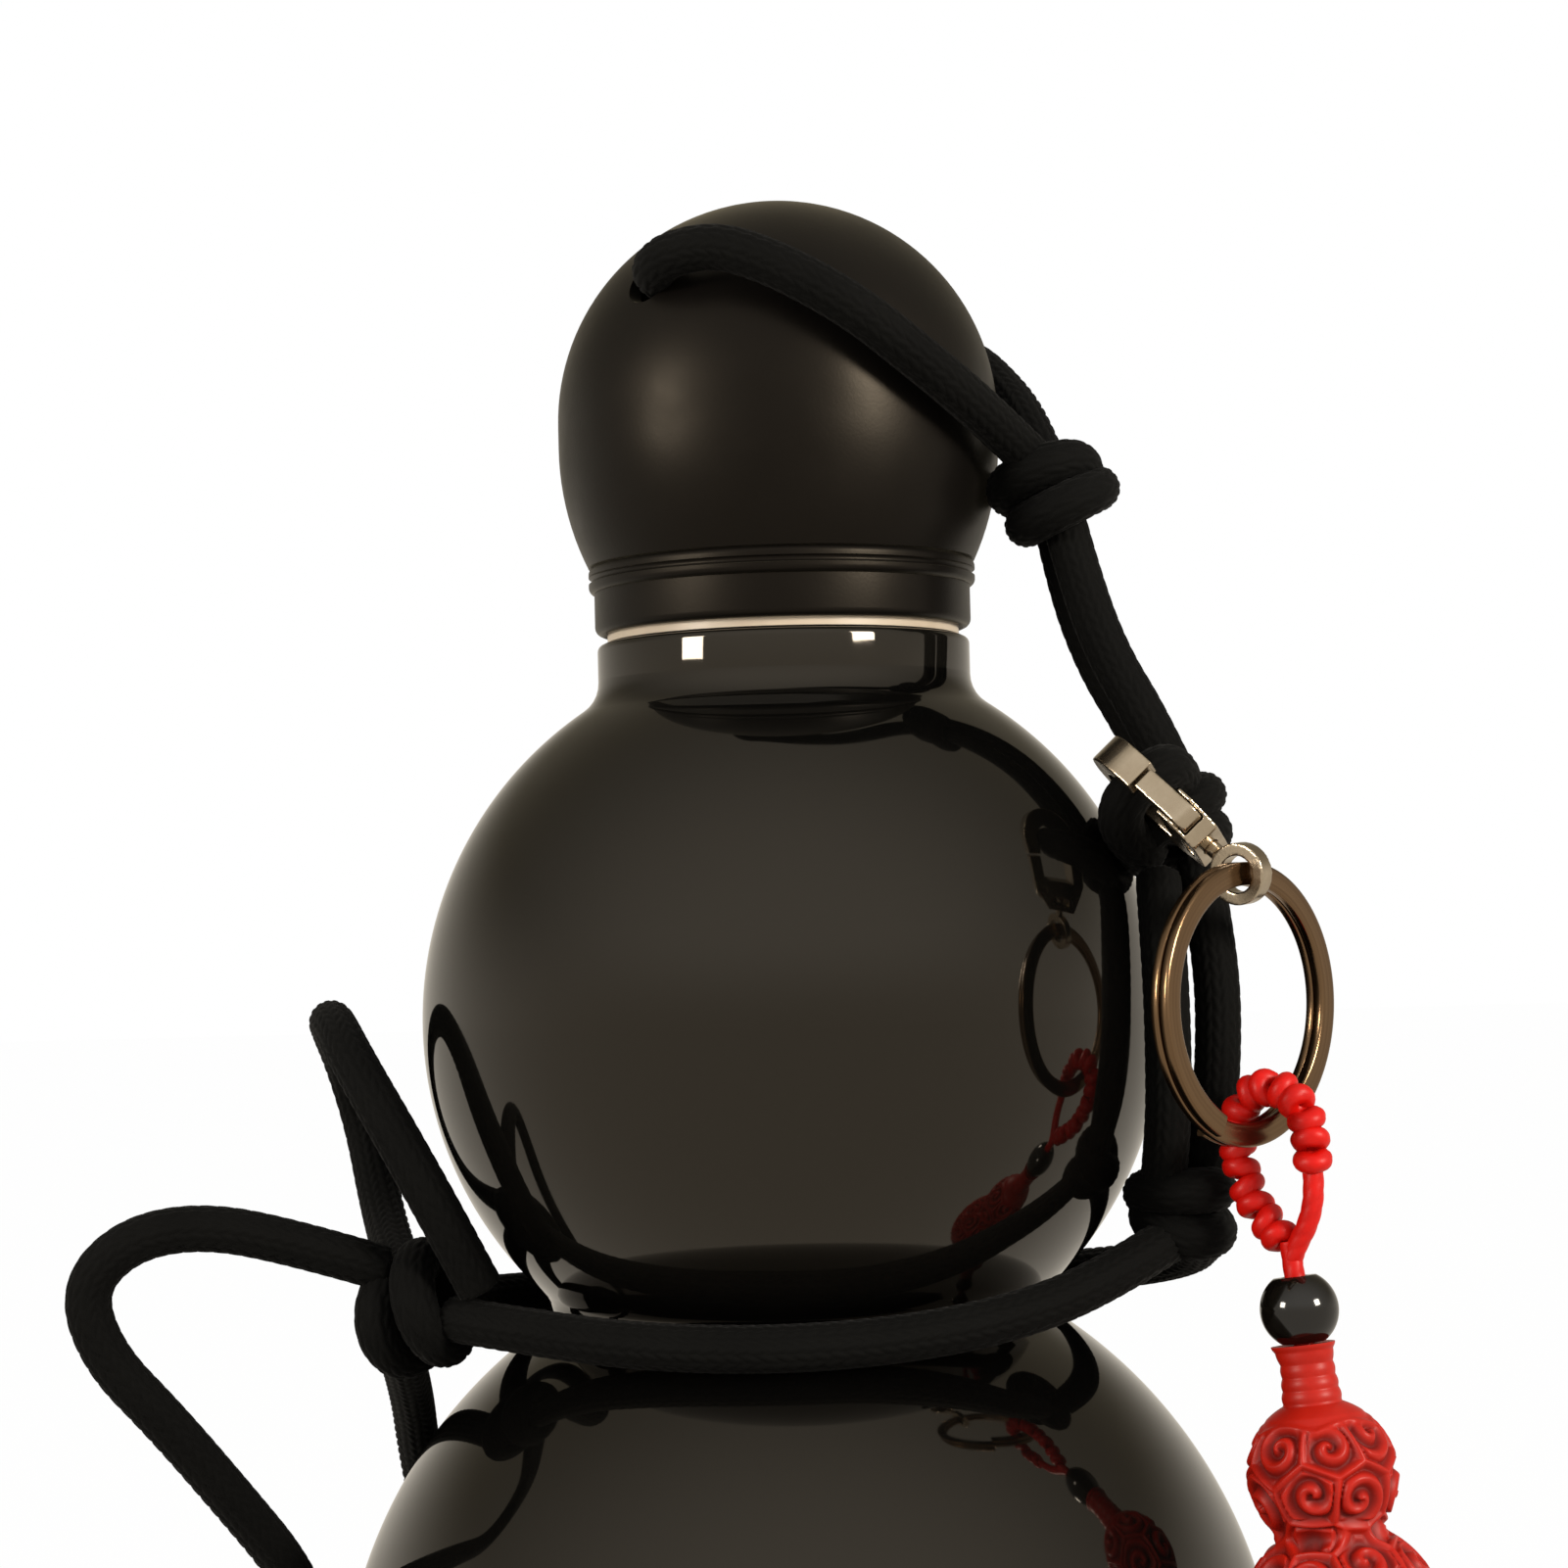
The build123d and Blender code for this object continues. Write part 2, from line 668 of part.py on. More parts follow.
with BuildPart() as charm_end_knot:
    with Locations(charm_level(end_knot_drop)):
        Sphere(end_knot_radius)
save(charm_end_knot.part, "charm_end_knot")

# Knots: each a lumpy ball of the cord's own turns
cap_knot = lumps(knot_cap, cap_knot_shares)
save(cap_knot, "cap_knot")

side_knot = lumps(knot_side, side_knot_shares)
save(side_knot, "side_knot")

strap_knot = lumps(knot_strap, strap_knot_shares)
save(strap_knot, "strap_knot")

# The clasp's knot has one slack turn standing off it, square through the hook's throat
throat_centre = clasp_plane.from_local_coords((hook_half_width, 0, 0))
clasp_bight = cord_tube(
    [
        knot_clasp + Vector(*bight_low_end_shares) * cord_diameter,
        throat_centre - clasp_side_axis * bight_half_run,
        throat_centre + clasp_side_axis * bight_half_run,
        knot_clasp + Vector(*bight_high_end_shares) * cord_diameter,
    ],
    cord_radius,
)
clasp_knot_ball = lumps(knot_clasp, clasp_knot_shares)
with BuildPart() as clasp_knot:
    add(clasp_knot_ball)
    add(clasp_bight)
save(clasp_knot.part, "clasp_knot")

# Free stretches of cord between the knots
cords = {
    "cap_loop_cord": [
        (26.6, -8.6, 162.2),
        (23.4, -12.4, 165.0),
        (19.9, -16.4, 168.0),
        (15.2, -20.4, 172.4),
        (9.0, -22.8, 177.2),
        (1.9, -22.4, 181.7),
        (-5.4, -20.8, 184.6),
        (-12.0, -19.6, 184.8),
        (-13.8, -16.0, 181.6),
        (-5.0, -5.8, 181.0),
        (5.0, 5.8, 181.0),
        (13.4, 15.6, 181.5),
        (17.8, 17.2, 180.6),
        (22.0, 12.8, 178.0),
        (25.0, 6.4, 174.2),
        (26.8, 0.8, 169.2),
        (27.8, -3.0, 163.4),
    ],
    "tether_cord_front": [
        (28.4, -8.0, 159.4),
        (30.5, -8.5, 150.8),
        (32.6, -9.2, 143.0),
        (35.4, -10.6, 136.4),
        (38.6, -12.3, 129.2),
    ],
    "tether_cord_rear": [
        (28.2, -3.5, 159.6),
        (29.6, -3.6, 150.8),
        (31.6, -4.2, 142.8),
        (34.6, -5.4, 136.2),
        (38.5, -7.4, 128.8),
    ],
    "side_strand_outer": [
        (41.3, -11.0, 122.4),
        (42.0, -12.8, 117.6),
        (42.6, -15.0, 110.4),
        (42.4, -15.2, 103.2),
        (41.6, -14.2, 96.6),
        (40.8, -13.2, 91.2),
    ],
    "side_strand_inner": [
        (36.8, -13.5, 120.7),
        (36.8, -16.6, 117.0),
        (37.0, -19.0, 110.4),
        (37.0, -19.2, 103.2),
        (36.8, -18.2, 96.6),
        (36.4, -15.6, 91.0),
    ],
    "waist_cord_front": [
        (36.4, -15.6, 86.2),
        (29.0, -21.4, 82.6),
        (19.6, -25.4, 79.8),
        (8.4, -28.4, 78.4),
        (-3.8, -29.4, 78.0),
        (-15.4, -25.8, 78.2),
        (-25.2, -20.0, 78.9),
        (-33.8, -14.4, 79.8),
    ],
    "waist_cord_back": [
        (39.8, -10.4, 86.0),
        (41.0, -2.6, 83.6),
        (37.8, 7.4, 81.2),
        (30.6, 16.6, 79.4),
        (19.6, 24.0, 78.4),
        (6.6, 28.8, 78.2),
        (-6.6, 28.8, 78.2),
        (-18.6, 23.4, 78.2),
        (-28.8, 15.8, 78.6),
        (-35.8, 6.0, 79.2),
        (-38.2, -6.4, 79.8),
    ],
    "ear_loop": [
        (-33.2, -15.2, 82.8),
        (-34.6, -18.2, 89.8),
        (-38.0, -17.6, 98.0),
        (-42.0, -13.4, 105.8),
        (-45.4, -5.0, 110.6),
        (-47.0, 4.4, 110.2),
        (-46.8, 12.4, 104.4),
        (-45.6, 14.6, 96.6),
        (-43.8, 10.4, 89.6),
        (-41.6, 1.8, 85.6),
        (-39.4, -8.4, 83.6),
    ],
    "hand_strap_loop": [
        (-40.8, -11.8, 84.6),
        (-49.2, -15.4, 87.8),
        (-57.0, -17.4, 89.8),
        (-63.4, -18.4, 88.4),
        (-67.2, -18.6, 83.8),
        (-66.6, -18.0, 77.6),
        (-62.8, -15.6, 71.0),
        (-58.0, -11.6, 63.0),
        (-53.8, -6.0, 54.6),
        (-52.4, 3.4, 46.0),
        (-53.6, 14.6, 37.2),
        (-56.6, 26.0, 27.0),
        (-60.8, 36.0, 16.2),
        (-65.0, 45.0, 7.0),
        (-66.4, 54.6, 3.0),
        (-61.8, 62.6, 2.6),
        (-53.6, 64.6, 3.4),
        (-46.6, 59.8, 8.0),
        (-42.6, 52.4, 16.0),
        (-40.8, 44.4, 28.0),
        (-40.4, 34.8, 42.0),
        (-40.6, 25.0, 53.4),
        (-40.8, 14.8, 63.0),
        (-40.2, 4.6, 70.4),
        (-39.6, -8.6, 75.9),
    ],
}
for name, points in cords.items():
    save(cord_tube(points, cord_radius), name)
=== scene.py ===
from math import acos, asin, atan2, degrees, pi, radians, sqrt

import bmesh
import bpy
import numpy as np
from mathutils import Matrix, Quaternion, Vector


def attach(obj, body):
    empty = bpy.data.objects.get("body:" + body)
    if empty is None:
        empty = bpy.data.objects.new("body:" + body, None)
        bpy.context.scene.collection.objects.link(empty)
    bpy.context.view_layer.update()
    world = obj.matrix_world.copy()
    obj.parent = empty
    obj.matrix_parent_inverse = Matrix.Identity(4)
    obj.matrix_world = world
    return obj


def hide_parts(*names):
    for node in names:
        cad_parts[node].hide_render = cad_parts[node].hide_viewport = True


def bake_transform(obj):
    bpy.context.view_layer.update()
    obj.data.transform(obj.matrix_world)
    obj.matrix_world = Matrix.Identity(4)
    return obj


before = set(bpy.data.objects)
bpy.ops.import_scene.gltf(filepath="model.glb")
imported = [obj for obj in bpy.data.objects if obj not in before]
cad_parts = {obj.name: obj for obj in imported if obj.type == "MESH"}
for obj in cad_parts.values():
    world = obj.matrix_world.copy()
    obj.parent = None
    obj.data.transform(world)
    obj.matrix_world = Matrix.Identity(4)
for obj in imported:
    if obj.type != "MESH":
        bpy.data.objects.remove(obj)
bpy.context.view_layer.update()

mm = 0.001
weld = 1e-7

# Camera: a long lens in front of the bottle at the height of its upper bulb, looking a little up.
# It is turned slightly on its own axis, so the bottle leans as it does in the photograph.
lens_mm = 74.2
sensor_mm = 36.0
camera_place = Vector((-0.3, -330.0, 119.0)) * mm
camera_aim = Vector((-0.3, 0.0, 131.5)) * mm
camera_roll = radians(1.45)
camera = bpy.data.objects.new("camera", bpy.data.cameras.new("camera"))
camera.data.lens = lens_mm
camera.data.sensor_width = sensor_mm
camera.data.clip_start = 0.01
camera.location = camera_place
camera.rotation_mode = "QUATERNION"
looking = (camera_aim - camera_place).to_track_quat("-Z", "Y")
camera.rotation_quaternion = looking @ Quaternion((0, 0, 1), -camera_roll)
scene = bpy.context.scene
scene.collection.objects.link(camera)
scene.camera = camera
scene.view_settings.view_transform = "Standard"


# Room: a pale floor and a soft surround that the camera sees as white. Mirror rays see it warm, and
# dimmer behind the bottle than in front, so that the rims of the glossy bulbs stay drawn.
def linear(code):
    """Linear colour of an sRGB hex value: the power curve above its straight foot."""
    part = np.array([int(code[place:place + 2], 16) for place in (1, 3, 5)]) / 255
    curve = np.where(part <= 0.04045, part / 12.92, ((part + 0.055) / 1.055) ** 2.4)
    return (*curve.tolist(), 1.0)


def put(tree, kind, inputs=None, **settings):
    """One shader node with its settings. An input takes a value, an output or a node's first output."""
    node = tree.nodes.new("ShaderNode" + kind)
    for name, value in settings.items():
        setattr(node, name, value)
    for name, value in (inputs or {}).items():
        if isinstance(value, bpy.types.Node):
            value = value.outputs[0]
        if isinstance(value, bpy.types.NodeSocket):
            tree.links.new(value, node.inputs[name])
        else:
            node.inputs[name].default_value = value
    return node


def new_tree(name):
    """A new material, its empty node tree and the coordinates of the object that it covers."""
    material = bpy.data.materials.new(name)
    material.use_nodes = True
    material.node_tree.nodes.clear()
    place = put(material.node_tree, "TexCoord")
    return material, material.node_tree, place.outputs


front_glow = linear("#FFFAF0")
back_glow = linear("#857D6C")
horizon_glow = linear("#DED6C8")
room_light = 0.78
world = bpy.data.worlds.new("room")
world.use_nodes = True
scene.world = world
room = world.node_tree
room.nodes.clear()
rays = put(room, "LightPath")
way = put(room, "TexCoord")
split = put(room, "SeparateXYZ", {"Vector": way.outputs["Generated"]})
room_depth = put(room, "MapRange", {
    "Value": split.outputs["Y"], "From Min": -0.9, "From Max": 0.6,
}, interpolation_type="SMOOTHSTEP")
room_height = put(room, "MapRange", {
    "Value": split.outputs["Z"], "From Min": -0.02, "From Max": 0.45, "To Min": 1.0, "To Max": 0.0,
}, interpolation_type="SMOOTHSTEP")
walls = put(room, "Mix", {"Factor": room_depth, "A": front_glow, "B": back_glow}, data_type="RGBA")
glow = put(room, "Mix", {
    "Factor": room_height, "A": walls.outputs["Result"], "B": horizon_glow,
}, data_type="RGBA")
seen_in_mirror = put(room, "Math", {
    0: rays.outputs["Is Glossy Ray"], 1: rays.outputs["Is Transmission Ray"],
}, operation="MAXIMUM")
mirrored = put(room, "Background", {"Color": glow.outputs["Result"]})
plain = put(room, "Background", {"Color": linear("#FFFFFF"), "Strength": room_light})
white = put(room, "Background", {"Color": linear("#FFFFFF")})
lit = put(room, "MixShader", {0: seen_in_mirror, 1: plain, 2: mirrored})
shown = put(room, "MixShader", {0: rays.outputs["Is Camera Ray"], 1: lit, 2: white})
put(room, "OutputWorld", {"Surface": shown})

floor_reach = 3.0
floor_white = 0.985
floor_mesh = bpy.data.meshes.new("floor")
floor_corners = [(x * floor_reach, y * floor_reach, 0) for x, y in ((-1, -1), (1, -1), (1, 1), (-1, 1))]
floor_mesh.from_pydata(floor_corners, [], [(0, 1, 2, 3)])
floor = bpy.data.objects.new("floor", floor_mesh)
scene.collection.objects.link(floor)
pale, tree, _ = new_tree("pale_floor")
eye_ray = put(tree, "LightPath")
matt = put(tree, "BsdfDiffuse", {"Color": linear("#C4C0B8")})
seen_white = put(tree, "Emission", {"Color": linear("#FFFFFF")})
seen_warm = put(tree, "Emission", {"Color": linear("#DCD4C6")})
direct = put(tree, "MixShader", {0: floor_white, 1: matt, 2: seen_white})
indirect = put(tree, "MixShader", {0: eye_ray.outputs["Is Glossy Ray"], 1: matt, 2: seen_warm})
both = put(tree, "MixShader", {0: eye_ray.outputs["Is Camera Ray"], 1: indirect, 2: direct})
put(tree, "OutputMaterial", {"Surface": both})
floor_mesh.materials.append(pale)

# Two tall windows, left and right of the camera, that draw the soft highlights on the satin cap
window_width, window_height = 0.22, 0.209
window_distance = 0.9
window_middle = Vector((0.0, 0.0, 150.0)) * mm
for side, heading, rise, power in (("left", -57.0, 13.0, 5.5), ("right", 50.0, 17.0, 9.0)):
    lamp = bpy.data.lights.new("window_" + side, "AREA")
    lamp.shape = "RECTANGLE"
    lamp.size = window_width
    lamp.size_y = window_height
    lamp.energy = power
    lamp.color = linear("#FFF6E8")[:3]
    window = bpy.data.objects.new("window_" + side, lamp)
    towards = Quaternion((0, 0, 1), radians(heading)) @ Quaternion((1, 0, 0), radians(-rise))
    way_out = towards @ Vector((0, -1, 0))
    window.location = window_middle + way_out * window_distance
    window.rotation_mode = "QUATERNION"
    window.rotation_quaternion = way_out.to_track_quat("Z", "Y")
    scene.collection.objects.link(window)


# Braided cord: black nylon, 4.5 mm, sixteen columns of slanting yarns over a soft core.
# The route of each stretch runs from knot to knot and is smoothed as the limp cord smooths itself.
cord_width = 4.5 * mm
braid_columns = 16
yarn_pitch = 1.55 * mm
yarn_height = 0.2 * mm
yarn_slant = 0.42
braid_sides = braid_columns * 5
braid_step = 0.3 * mm


def surface(name, grid, endless=False, carving=None):
    """Mesh over a grid of points. Its columns close round, and its rows too if it is endless.

    Its UV map runs from 0 to 1 across and from 0 to 1 along. Rows that meet in a point are welded there.
    Carving, a height for each point of the grid, is kept as the mesh's attribute of that name.
    """
    rows, columns = grid.shape[:2]
    index = np.arange(rows * columns).reshape(rows, columns)
    right = np.roll(index, -1, axis=1)
    faces = np.stack([index, right, np.roll(right, -1, axis=0), np.roll(index, -1, axis=0)], axis=-1)
    across, along = np.meshgrid(np.arange(columns) / columns, np.arange(rows) / (rows - 1))
    corner = np.stack([across, along], axis=-1)
    steps = [(0, 0), (1 / columns, 0), (1 / columns, 1 / (rows - 1)), (0, 1 / (rows - 1))]
    uv = np.stack([corner + step for step in steps], axis=2)
    if not endless:
        faces, uv = faces[:-1], uv[:-1]
    faces = faces.reshape(-1, 4)
    mesh = bpy.data.meshes.new(name)
    mesh.vertices.add(rows * columns)
    mesh.vertices.foreach_set("co", grid.astype(np.float32).ravel())
    mesh.loops.add(faces.size)
    mesh.loops.foreach_set("vertex_index", faces.astype(np.int32).ravel())
    mesh.polygons.add(len(faces))
    mesh.polygons.foreach_set("loop_start", np.arange(0, faces.size, 4, dtype=np.int32))
    mesh.uv_layers.new(name="along")
    mesh.uv_layers["along"].data.foreach_set("uv", uv.astype(np.float32).ravel())
    mesh.update(calc_edges=True)
    if carving is not None:
        mesh.attributes.new("carving", "FLOAT", "POINT")
        mesh.attributes["carving"].data.foreach_set("value", carving.astype(np.float32).ravel())
    shape = bmesh.new()
    shape.from_mesh(mesh)
    bmesh.ops.remove_doubles(shape, verts=shape.verts, dist=weld)
    bmesh.ops.recalc_face_normals(shape, faces=shape.faces)
    for face in shape.faces:
        face.smooth = True
    shape.to_mesh(mesh)
    shape.free()
    piece = bpy.data.objects.new(name, mesh)
    scene.collection.objects.link(piece)
    return piece


def smooth_route(name, points_mm):
    """The points of the smooth line that a limp cord takes past its route's points."""
    curve = bpy.data.curves.new(name, "CURVE")
    curve.dimensions = "3D"
    spline = curve.splines.new("NURBS")
    spline.points.add(len(points_mm) - 1)
    for point, place in zip(spline.points, points_mm):
        point.co = (*(Vector(place) * mm), 1)
    spline.order_u = 3
    spline.use_endpoint_u = True
    spline.resolution_u = 24
    line = bpy.data.objects.new(name + "_line", curve)
    mesh = bpy.data.meshes.new_from_object(line)
    path = np.array([vertex.co for vertex in mesh.vertices])
    bpy.data.objects.remove(line)
    bpy.data.meshes.remove(mesh)
    return path


def even(path, step):
    """The same line with its points evenly spaced along its length."""
    gaps = np.linalg.norm(np.diff(path, axis=0), axis=1)
    reach = np.concatenate([[0], np.cumsum(gaps)])
    stations = np.linspace(0, reach[-1], max(int(round(reach[-1] / step)), 4) + 1)
    return np.stack([np.interp(stations, reach, path[:, axis]) for axis in range(3)], axis=1), stations


def unit(vectors):
    """The same directions, each of length one."""
    return vectors / np.linalg.norm(vectors, axis=-1, keepdims=True)


def frames(path, closed=False):
    """Two cross directions at each point of a line that don't twist about it.

    A fixed direction is laid square to the line, then turned back by the twist that it gathers,
    which is summed from the angle between each cross direction and the one carried on from before.
    """
    if closed:
        tangent = unit(np.roll(path, -1, axis=0) - np.roll(path, 1, axis=0))
    else:
        tangent = unit(np.gradient(path, axis=0))
    fixed = np.eye(3)[np.argmin(np.abs(tangent).max(axis=0))]
    cross = unit(np.cross(tangent, fixed + 1e-4))
    other = np.cross(tangent, cross)
    before, after = tangent[:-1], tangent[1:]
    axis = np.cross(before, after)
    carried = cross[:-1] + np.cross(axis, cross[:-1]) + np.cross(axis, np.cross(axis, cross[:-1])) / (
        1 + np.sum(before * after, axis=1, keepdims=True))
    turn = np.arctan2(np.sum(carried * other[1:], axis=1), np.sum(carried * cross[1:], axis=1))
    total = np.concatenate([[0], np.cumsum(turn)])[:, None]
    return cross * np.cos(total) + other * np.sin(total), other * np.cos(total) - cross * np.sin(total)


def braid(turn, along):
    """Height of the braid, 0 to 1: in each column slanting yarns lie one after another along the cord.

    Across a column and along a yarn the height is one minus the fourth power of the distance from its
    middle; neighbouring columns slant opposite ways and lie half a yarn apart.
    """
    column = turn * braid_columns / (2 * pi)
    which = np.floor(column)
    across = 2 * (column - which) - 1
    slant = np.where(which % 2 == 0, yarn_slant, -yarn_slant)
    phase = along / yarn_pitch + slant * across + 0.5 * (which % 2)
    lengthways = 2 * (phase - np.floor(phase)) - 1
    return (1 - across**4) * (1 - lengthways**4)


def capped(grid, line):
    """A tube's grid with each end closed on the end of the line that it follows."""
    start, end = (np.broadcast_to(line[place], grid[:1].shape) for place in (0, -1))
    return np.concatenate([start, grid, end])


def tube(name, path, step, turn, section, closed):
    """A tube along a line: section gives its radius from the turn about it and the length along it."""
    path, along = even(path, step)
    if closed:
        path, along = path[:-1], along[:-1]
    first, second = frames(path, closed)
    outward = np.cos(turn)[None, :, None] * first[:, None] + np.sin(turn)[None, :, None] * second[:, None]
    grid = path[:, None] + outward * section(turn[None, :], along[:, None])[..., None]
    return surface(name, grid if closed else capped(grid, path), endless=closed), path


def braided(name, path, closed=False):
    """A braided cord: its radius is half its width, less the dips between the yarns."""
    turn = (np.arange(braid_sides) + 0.5) * 2 * pi / braid_sides
    return tube(name, path, braid_step, turn,
                lambda turn, along: cord_width / 2 - yarn_height * (1 - braid(turn, along)), closed)


# Nylon braid: matt multifilament yarn, so it has almost no mirror light and a faint pale bloom
nylon, tree, place = new_tree("black_nylon_braid")
wear = put(tree, "TexNoise", {
    "Vector": place["Object"], "Scale": 1 / (9 * mm), "Detail": 3.0, "Roughness": 0.6,
})
shade = put(tree, "Mix", {
    "Factor": wear, "A": linear("#020202"), "B": linear("#080807"),
}, data_type="RGBA")
filament = put(tree, "TexNoise", {
    "Vector": place["Object"], "Scale": 1 / (0.22 * mm), "Roughness": 0.7,
})
fuzz = put(tree, "Bump", {"Height": filament, "Strength": 0.55, "Distance": 0.06 * mm})
shader = put(tree, "BsdfPrincipled", {
    "Base Color": shade.outputs["Result"], "Roughness": 0.78, "Specular IOR Level": 0.07,
    "Sheen Weight": 0.02, "Sheen Roughness": 0.45, "Normal": fuzz,
})
put(tree, "OutputMaterial", {"Surface": shader})

# Each stretch's route from knot to knot, in millimetres
routes = {
    "cap_loop_cord": [
        (25.9, -8.6, 162.4), (22.4, -12.2, 165.2), (18.0, -17.9, 168.3), (13.1, -21.6, 171.8),
        (8.4, -22.9, 175.5), (3.7, -23.1, 178.5), (-1.0, -22.3, 181.1), (-5.6, -20.9, 182.9),
        (-10.6, -19.4, 182.3), (-12.4, -14.6, 181.0), (-5.0, -5.8, 181.0), (5.0, 5.8, 181.0),
        (12.4, 14.6, 181.4), (15.6, 18.0, 180.4), (18.9, 15.6, 178.0), (21.5, 10.9, 175.7),
        (23.6, 7.6, 172.8), (25.1, 3.0, 169.7), (26.3, -1.2, 165.9), (27.2, -3.2, 162.8),
    ],
    "tether_cord_front": [
        (27.7, -8.0, 159.4), (29.7, -8.5, 150.8), (32.3, -9.2, 143.0), (35.9, -10.6, 136.4),
        (38.8, -12.3, 129.2),
    ],
    "tether_cord_rear": [
        (27.4, -3.5, 159.6), (29.0, -3.6, 150.8), (31.6, -4.2, 142.8), (35.2, -5.4, 136.2),
        (38.6, -7.4, 128.8),
    ],
    "side_strand_outer": [
        (40.4, -11.0, 122.4), (40.9, -12.8, 117.6), (41.4, -15.0, 110.4), (41.2, -15.2, 103.2),
        (40.6, -14.2, 96.6), (39.8, -13.2, 91.2),
    ],
    "side_strand_inner": [
        (36.1, -13.5, 120.7), (35.9, -16.6, 117.0), (35.9, -19.0, 110.4), (35.9, -19.2, 103.2),
        (35.8, -18.2, 96.6), (35.4, -15.6, 91.0),
    ],
    "waist_cord_front": [
        (36.4, -15.6, 86.2), (29.0, -21.4, 82.6), (19.6, -25.4, 79.8), (8.4, -28.4, 78.4),
        (-3.8, -29.4, 78.0), (-15.4, -25.8, 78.2), (-25.2, -20.0, 78.9), (-33.8, -14.4, 79.8),
    ],
    "waist_cord_back": [
        (39.8, -10.4, 86.0), (41.0, -2.6, 83.6), (37.8, 7.4, 81.2), (30.6, 16.6, 79.4),
        (19.6, 24.0, 78.4), (6.6, 28.8, 78.2), (-6.6, 28.8, 78.2), (-18.6, 23.4, 78.2),
        (-28.8, 15.8, 78.6), (-35.8, 6.0, 79.2), (-38.2, -6.4, 79.8),
    ],
    "ear_loop": [
        (-31.0, -15.8, 83.0), (-34.0, -18.2, 89.6), (-38.4, -17.4, 97.6), (-42.8, -13.4, 104.4),
        (-46.2, -5.0, 108.6), (-47.8, 4.4, 108.2), (-47.2, 12.4, 103.4), (-45.6, 14.6, 96.6),
        (-43.8, 10.4, 89.6), (-41.6, 1.8, 85.6), (-39.4, -8.4, 83.6),
    ],
    "hand_strap_loop": [
        (-40.8, -11.8, 84.6), (-49.2, -15.4, 87.8), (-57.6, -17.4, 89.8), (-64.6, -18.4, 88.6),
        (-68.9, -18.6, 84.0), (-67.0, -18.0, 77.4), (-61.6, -15.6, 70.8), (-56.2, -11.6, 62.8),
        (-51.2, -6.0, 54.4), (-50.2, 3.4, 46.0), (-53.2, 14.6, 37.2), (-56.6, 26.0, 27.0),
        (-60.8, 36.0, 16.2), (-65.0, 45.0, 7.0), (-66.4, 54.6, 3.0), (-61.8, 62.6, 2.6),
        (-53.6, 64.6, 3.4), (-46.6, 59.8, 8.0), (-42.6, 52.4, 16.0), (-40.8, 44.4, 28.0),
        (-40.4, 34.8, 42.0), (-40.6, 25.0, 53.4), (-40.8, 14.8, 63.0), (-40.2, 4.6, 70.4),
        (-39.6, -8.6, 75.9),
    ],
}
cap_cords = ("cap_loop_cord", "tether_cord_front", "tether_cord_rear")
for name, points in routes.items():
    stretch, followed = braided(name + "_braid", smooth_route(name, points))
    stretch.data.materials.append(nylon)
    if name in cap_cords:
        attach(stretch, "cap")
    elif name.startswith("side_strand"):
        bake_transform(stretch)
    else:
        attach(stretch, "harness")
    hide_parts(name)


# Knots: each is two turns of the same cord drawn tight round the strands that pass through it.
# The turns lie side by side at one end and cross at the other, as in an overhand knot.
def knot_turns(name, centre_mm, through, facing, reach_mm, depth_mm, rise_mm, swell_mm, phase):
    """Two turns about an axis: an ellipse walked twice, which rises and swells once over both turns."""
    axis = Vector(through).normalized()
    across = (Vector(facing) - axis * Vector(facing).dot(axis)).normalized()
    back = axis.cross(across)
    walk = np.linspace(0, 4 * pi, 361)[:, None]
    swell = swell_mm * np.cos(walk / 2 + phase)
    line = (np.array(centre_mm) + np.array(across) * (reach_mm + swell) * np.cos(walk)
            + np.array(back) * (depth_mm + swell) * np.sin(walk)
            + np.array(axis) * rise_mm * np.sin(walk / 2 + phase))
    piece, _ = braided(name, line * mm, closed=True)
    piece.data.materials.append(nylon)
    return piece


# Each knot's body, middle, axis and facing, then its reach, depth, rise, swell and phase
knots = {
    "cap_knot": ("cap", (27.5, -6.3, 159.8), (0.34, -0.05, -0.94), (1, 0, 0.28), 3.9, 5.0, 2.3, 0.5, 0.5),
    "clasp_knot": ("cap", (37.8, -9.4, 126.2), (0.25, -0.1, -0.96), (1, 0, 0.3), 3.9, 4.4, 2.4, 0.4, 2.2),
    "side_knot": ("harness", (37.4, -13.4, 88.8), (-0.1, 0.1, -1.0), (1, 0.1, 0.1), 3.2, 3.6, 2.3, 0.4, 1.0),
    "strap_knot": ("harness", (-37.4, -10.4, 80.4), (1.0, -0.45, 0.2), (0.2, -0.1, 1.0),
                   4.1, 4.4, 2.6, 0.6, 0.4),
}
for name, (body, *form) in knots.items():
    knot = knot_turns(name + "_turns", *form)
    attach(knot, body)
    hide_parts(name)

# The clasp knot's slack turn stands off it, square through the throat of the clasp's hook
bight_back, bight_front = 5.6, 5.0
throat_centre, throat_side = Vector((33.967, -18.993, 130.052)), Vector((0.727674, 0.0, 0.685923))
bight_route = [
    (35.4, -11.8, 123.4), throat_centre - throat_side * bight_back,
    throat_centre + throat_side * bight_front, (38.8, -11.4, 129.4),
]
clasp_bight, _ = braided("clasp_knot_bight", smooth_route("clasp_bight", bight_route))
clasp_bight.data.materials.append(nylon)
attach(clasp_bight, "cap")
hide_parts("clasp_knot")


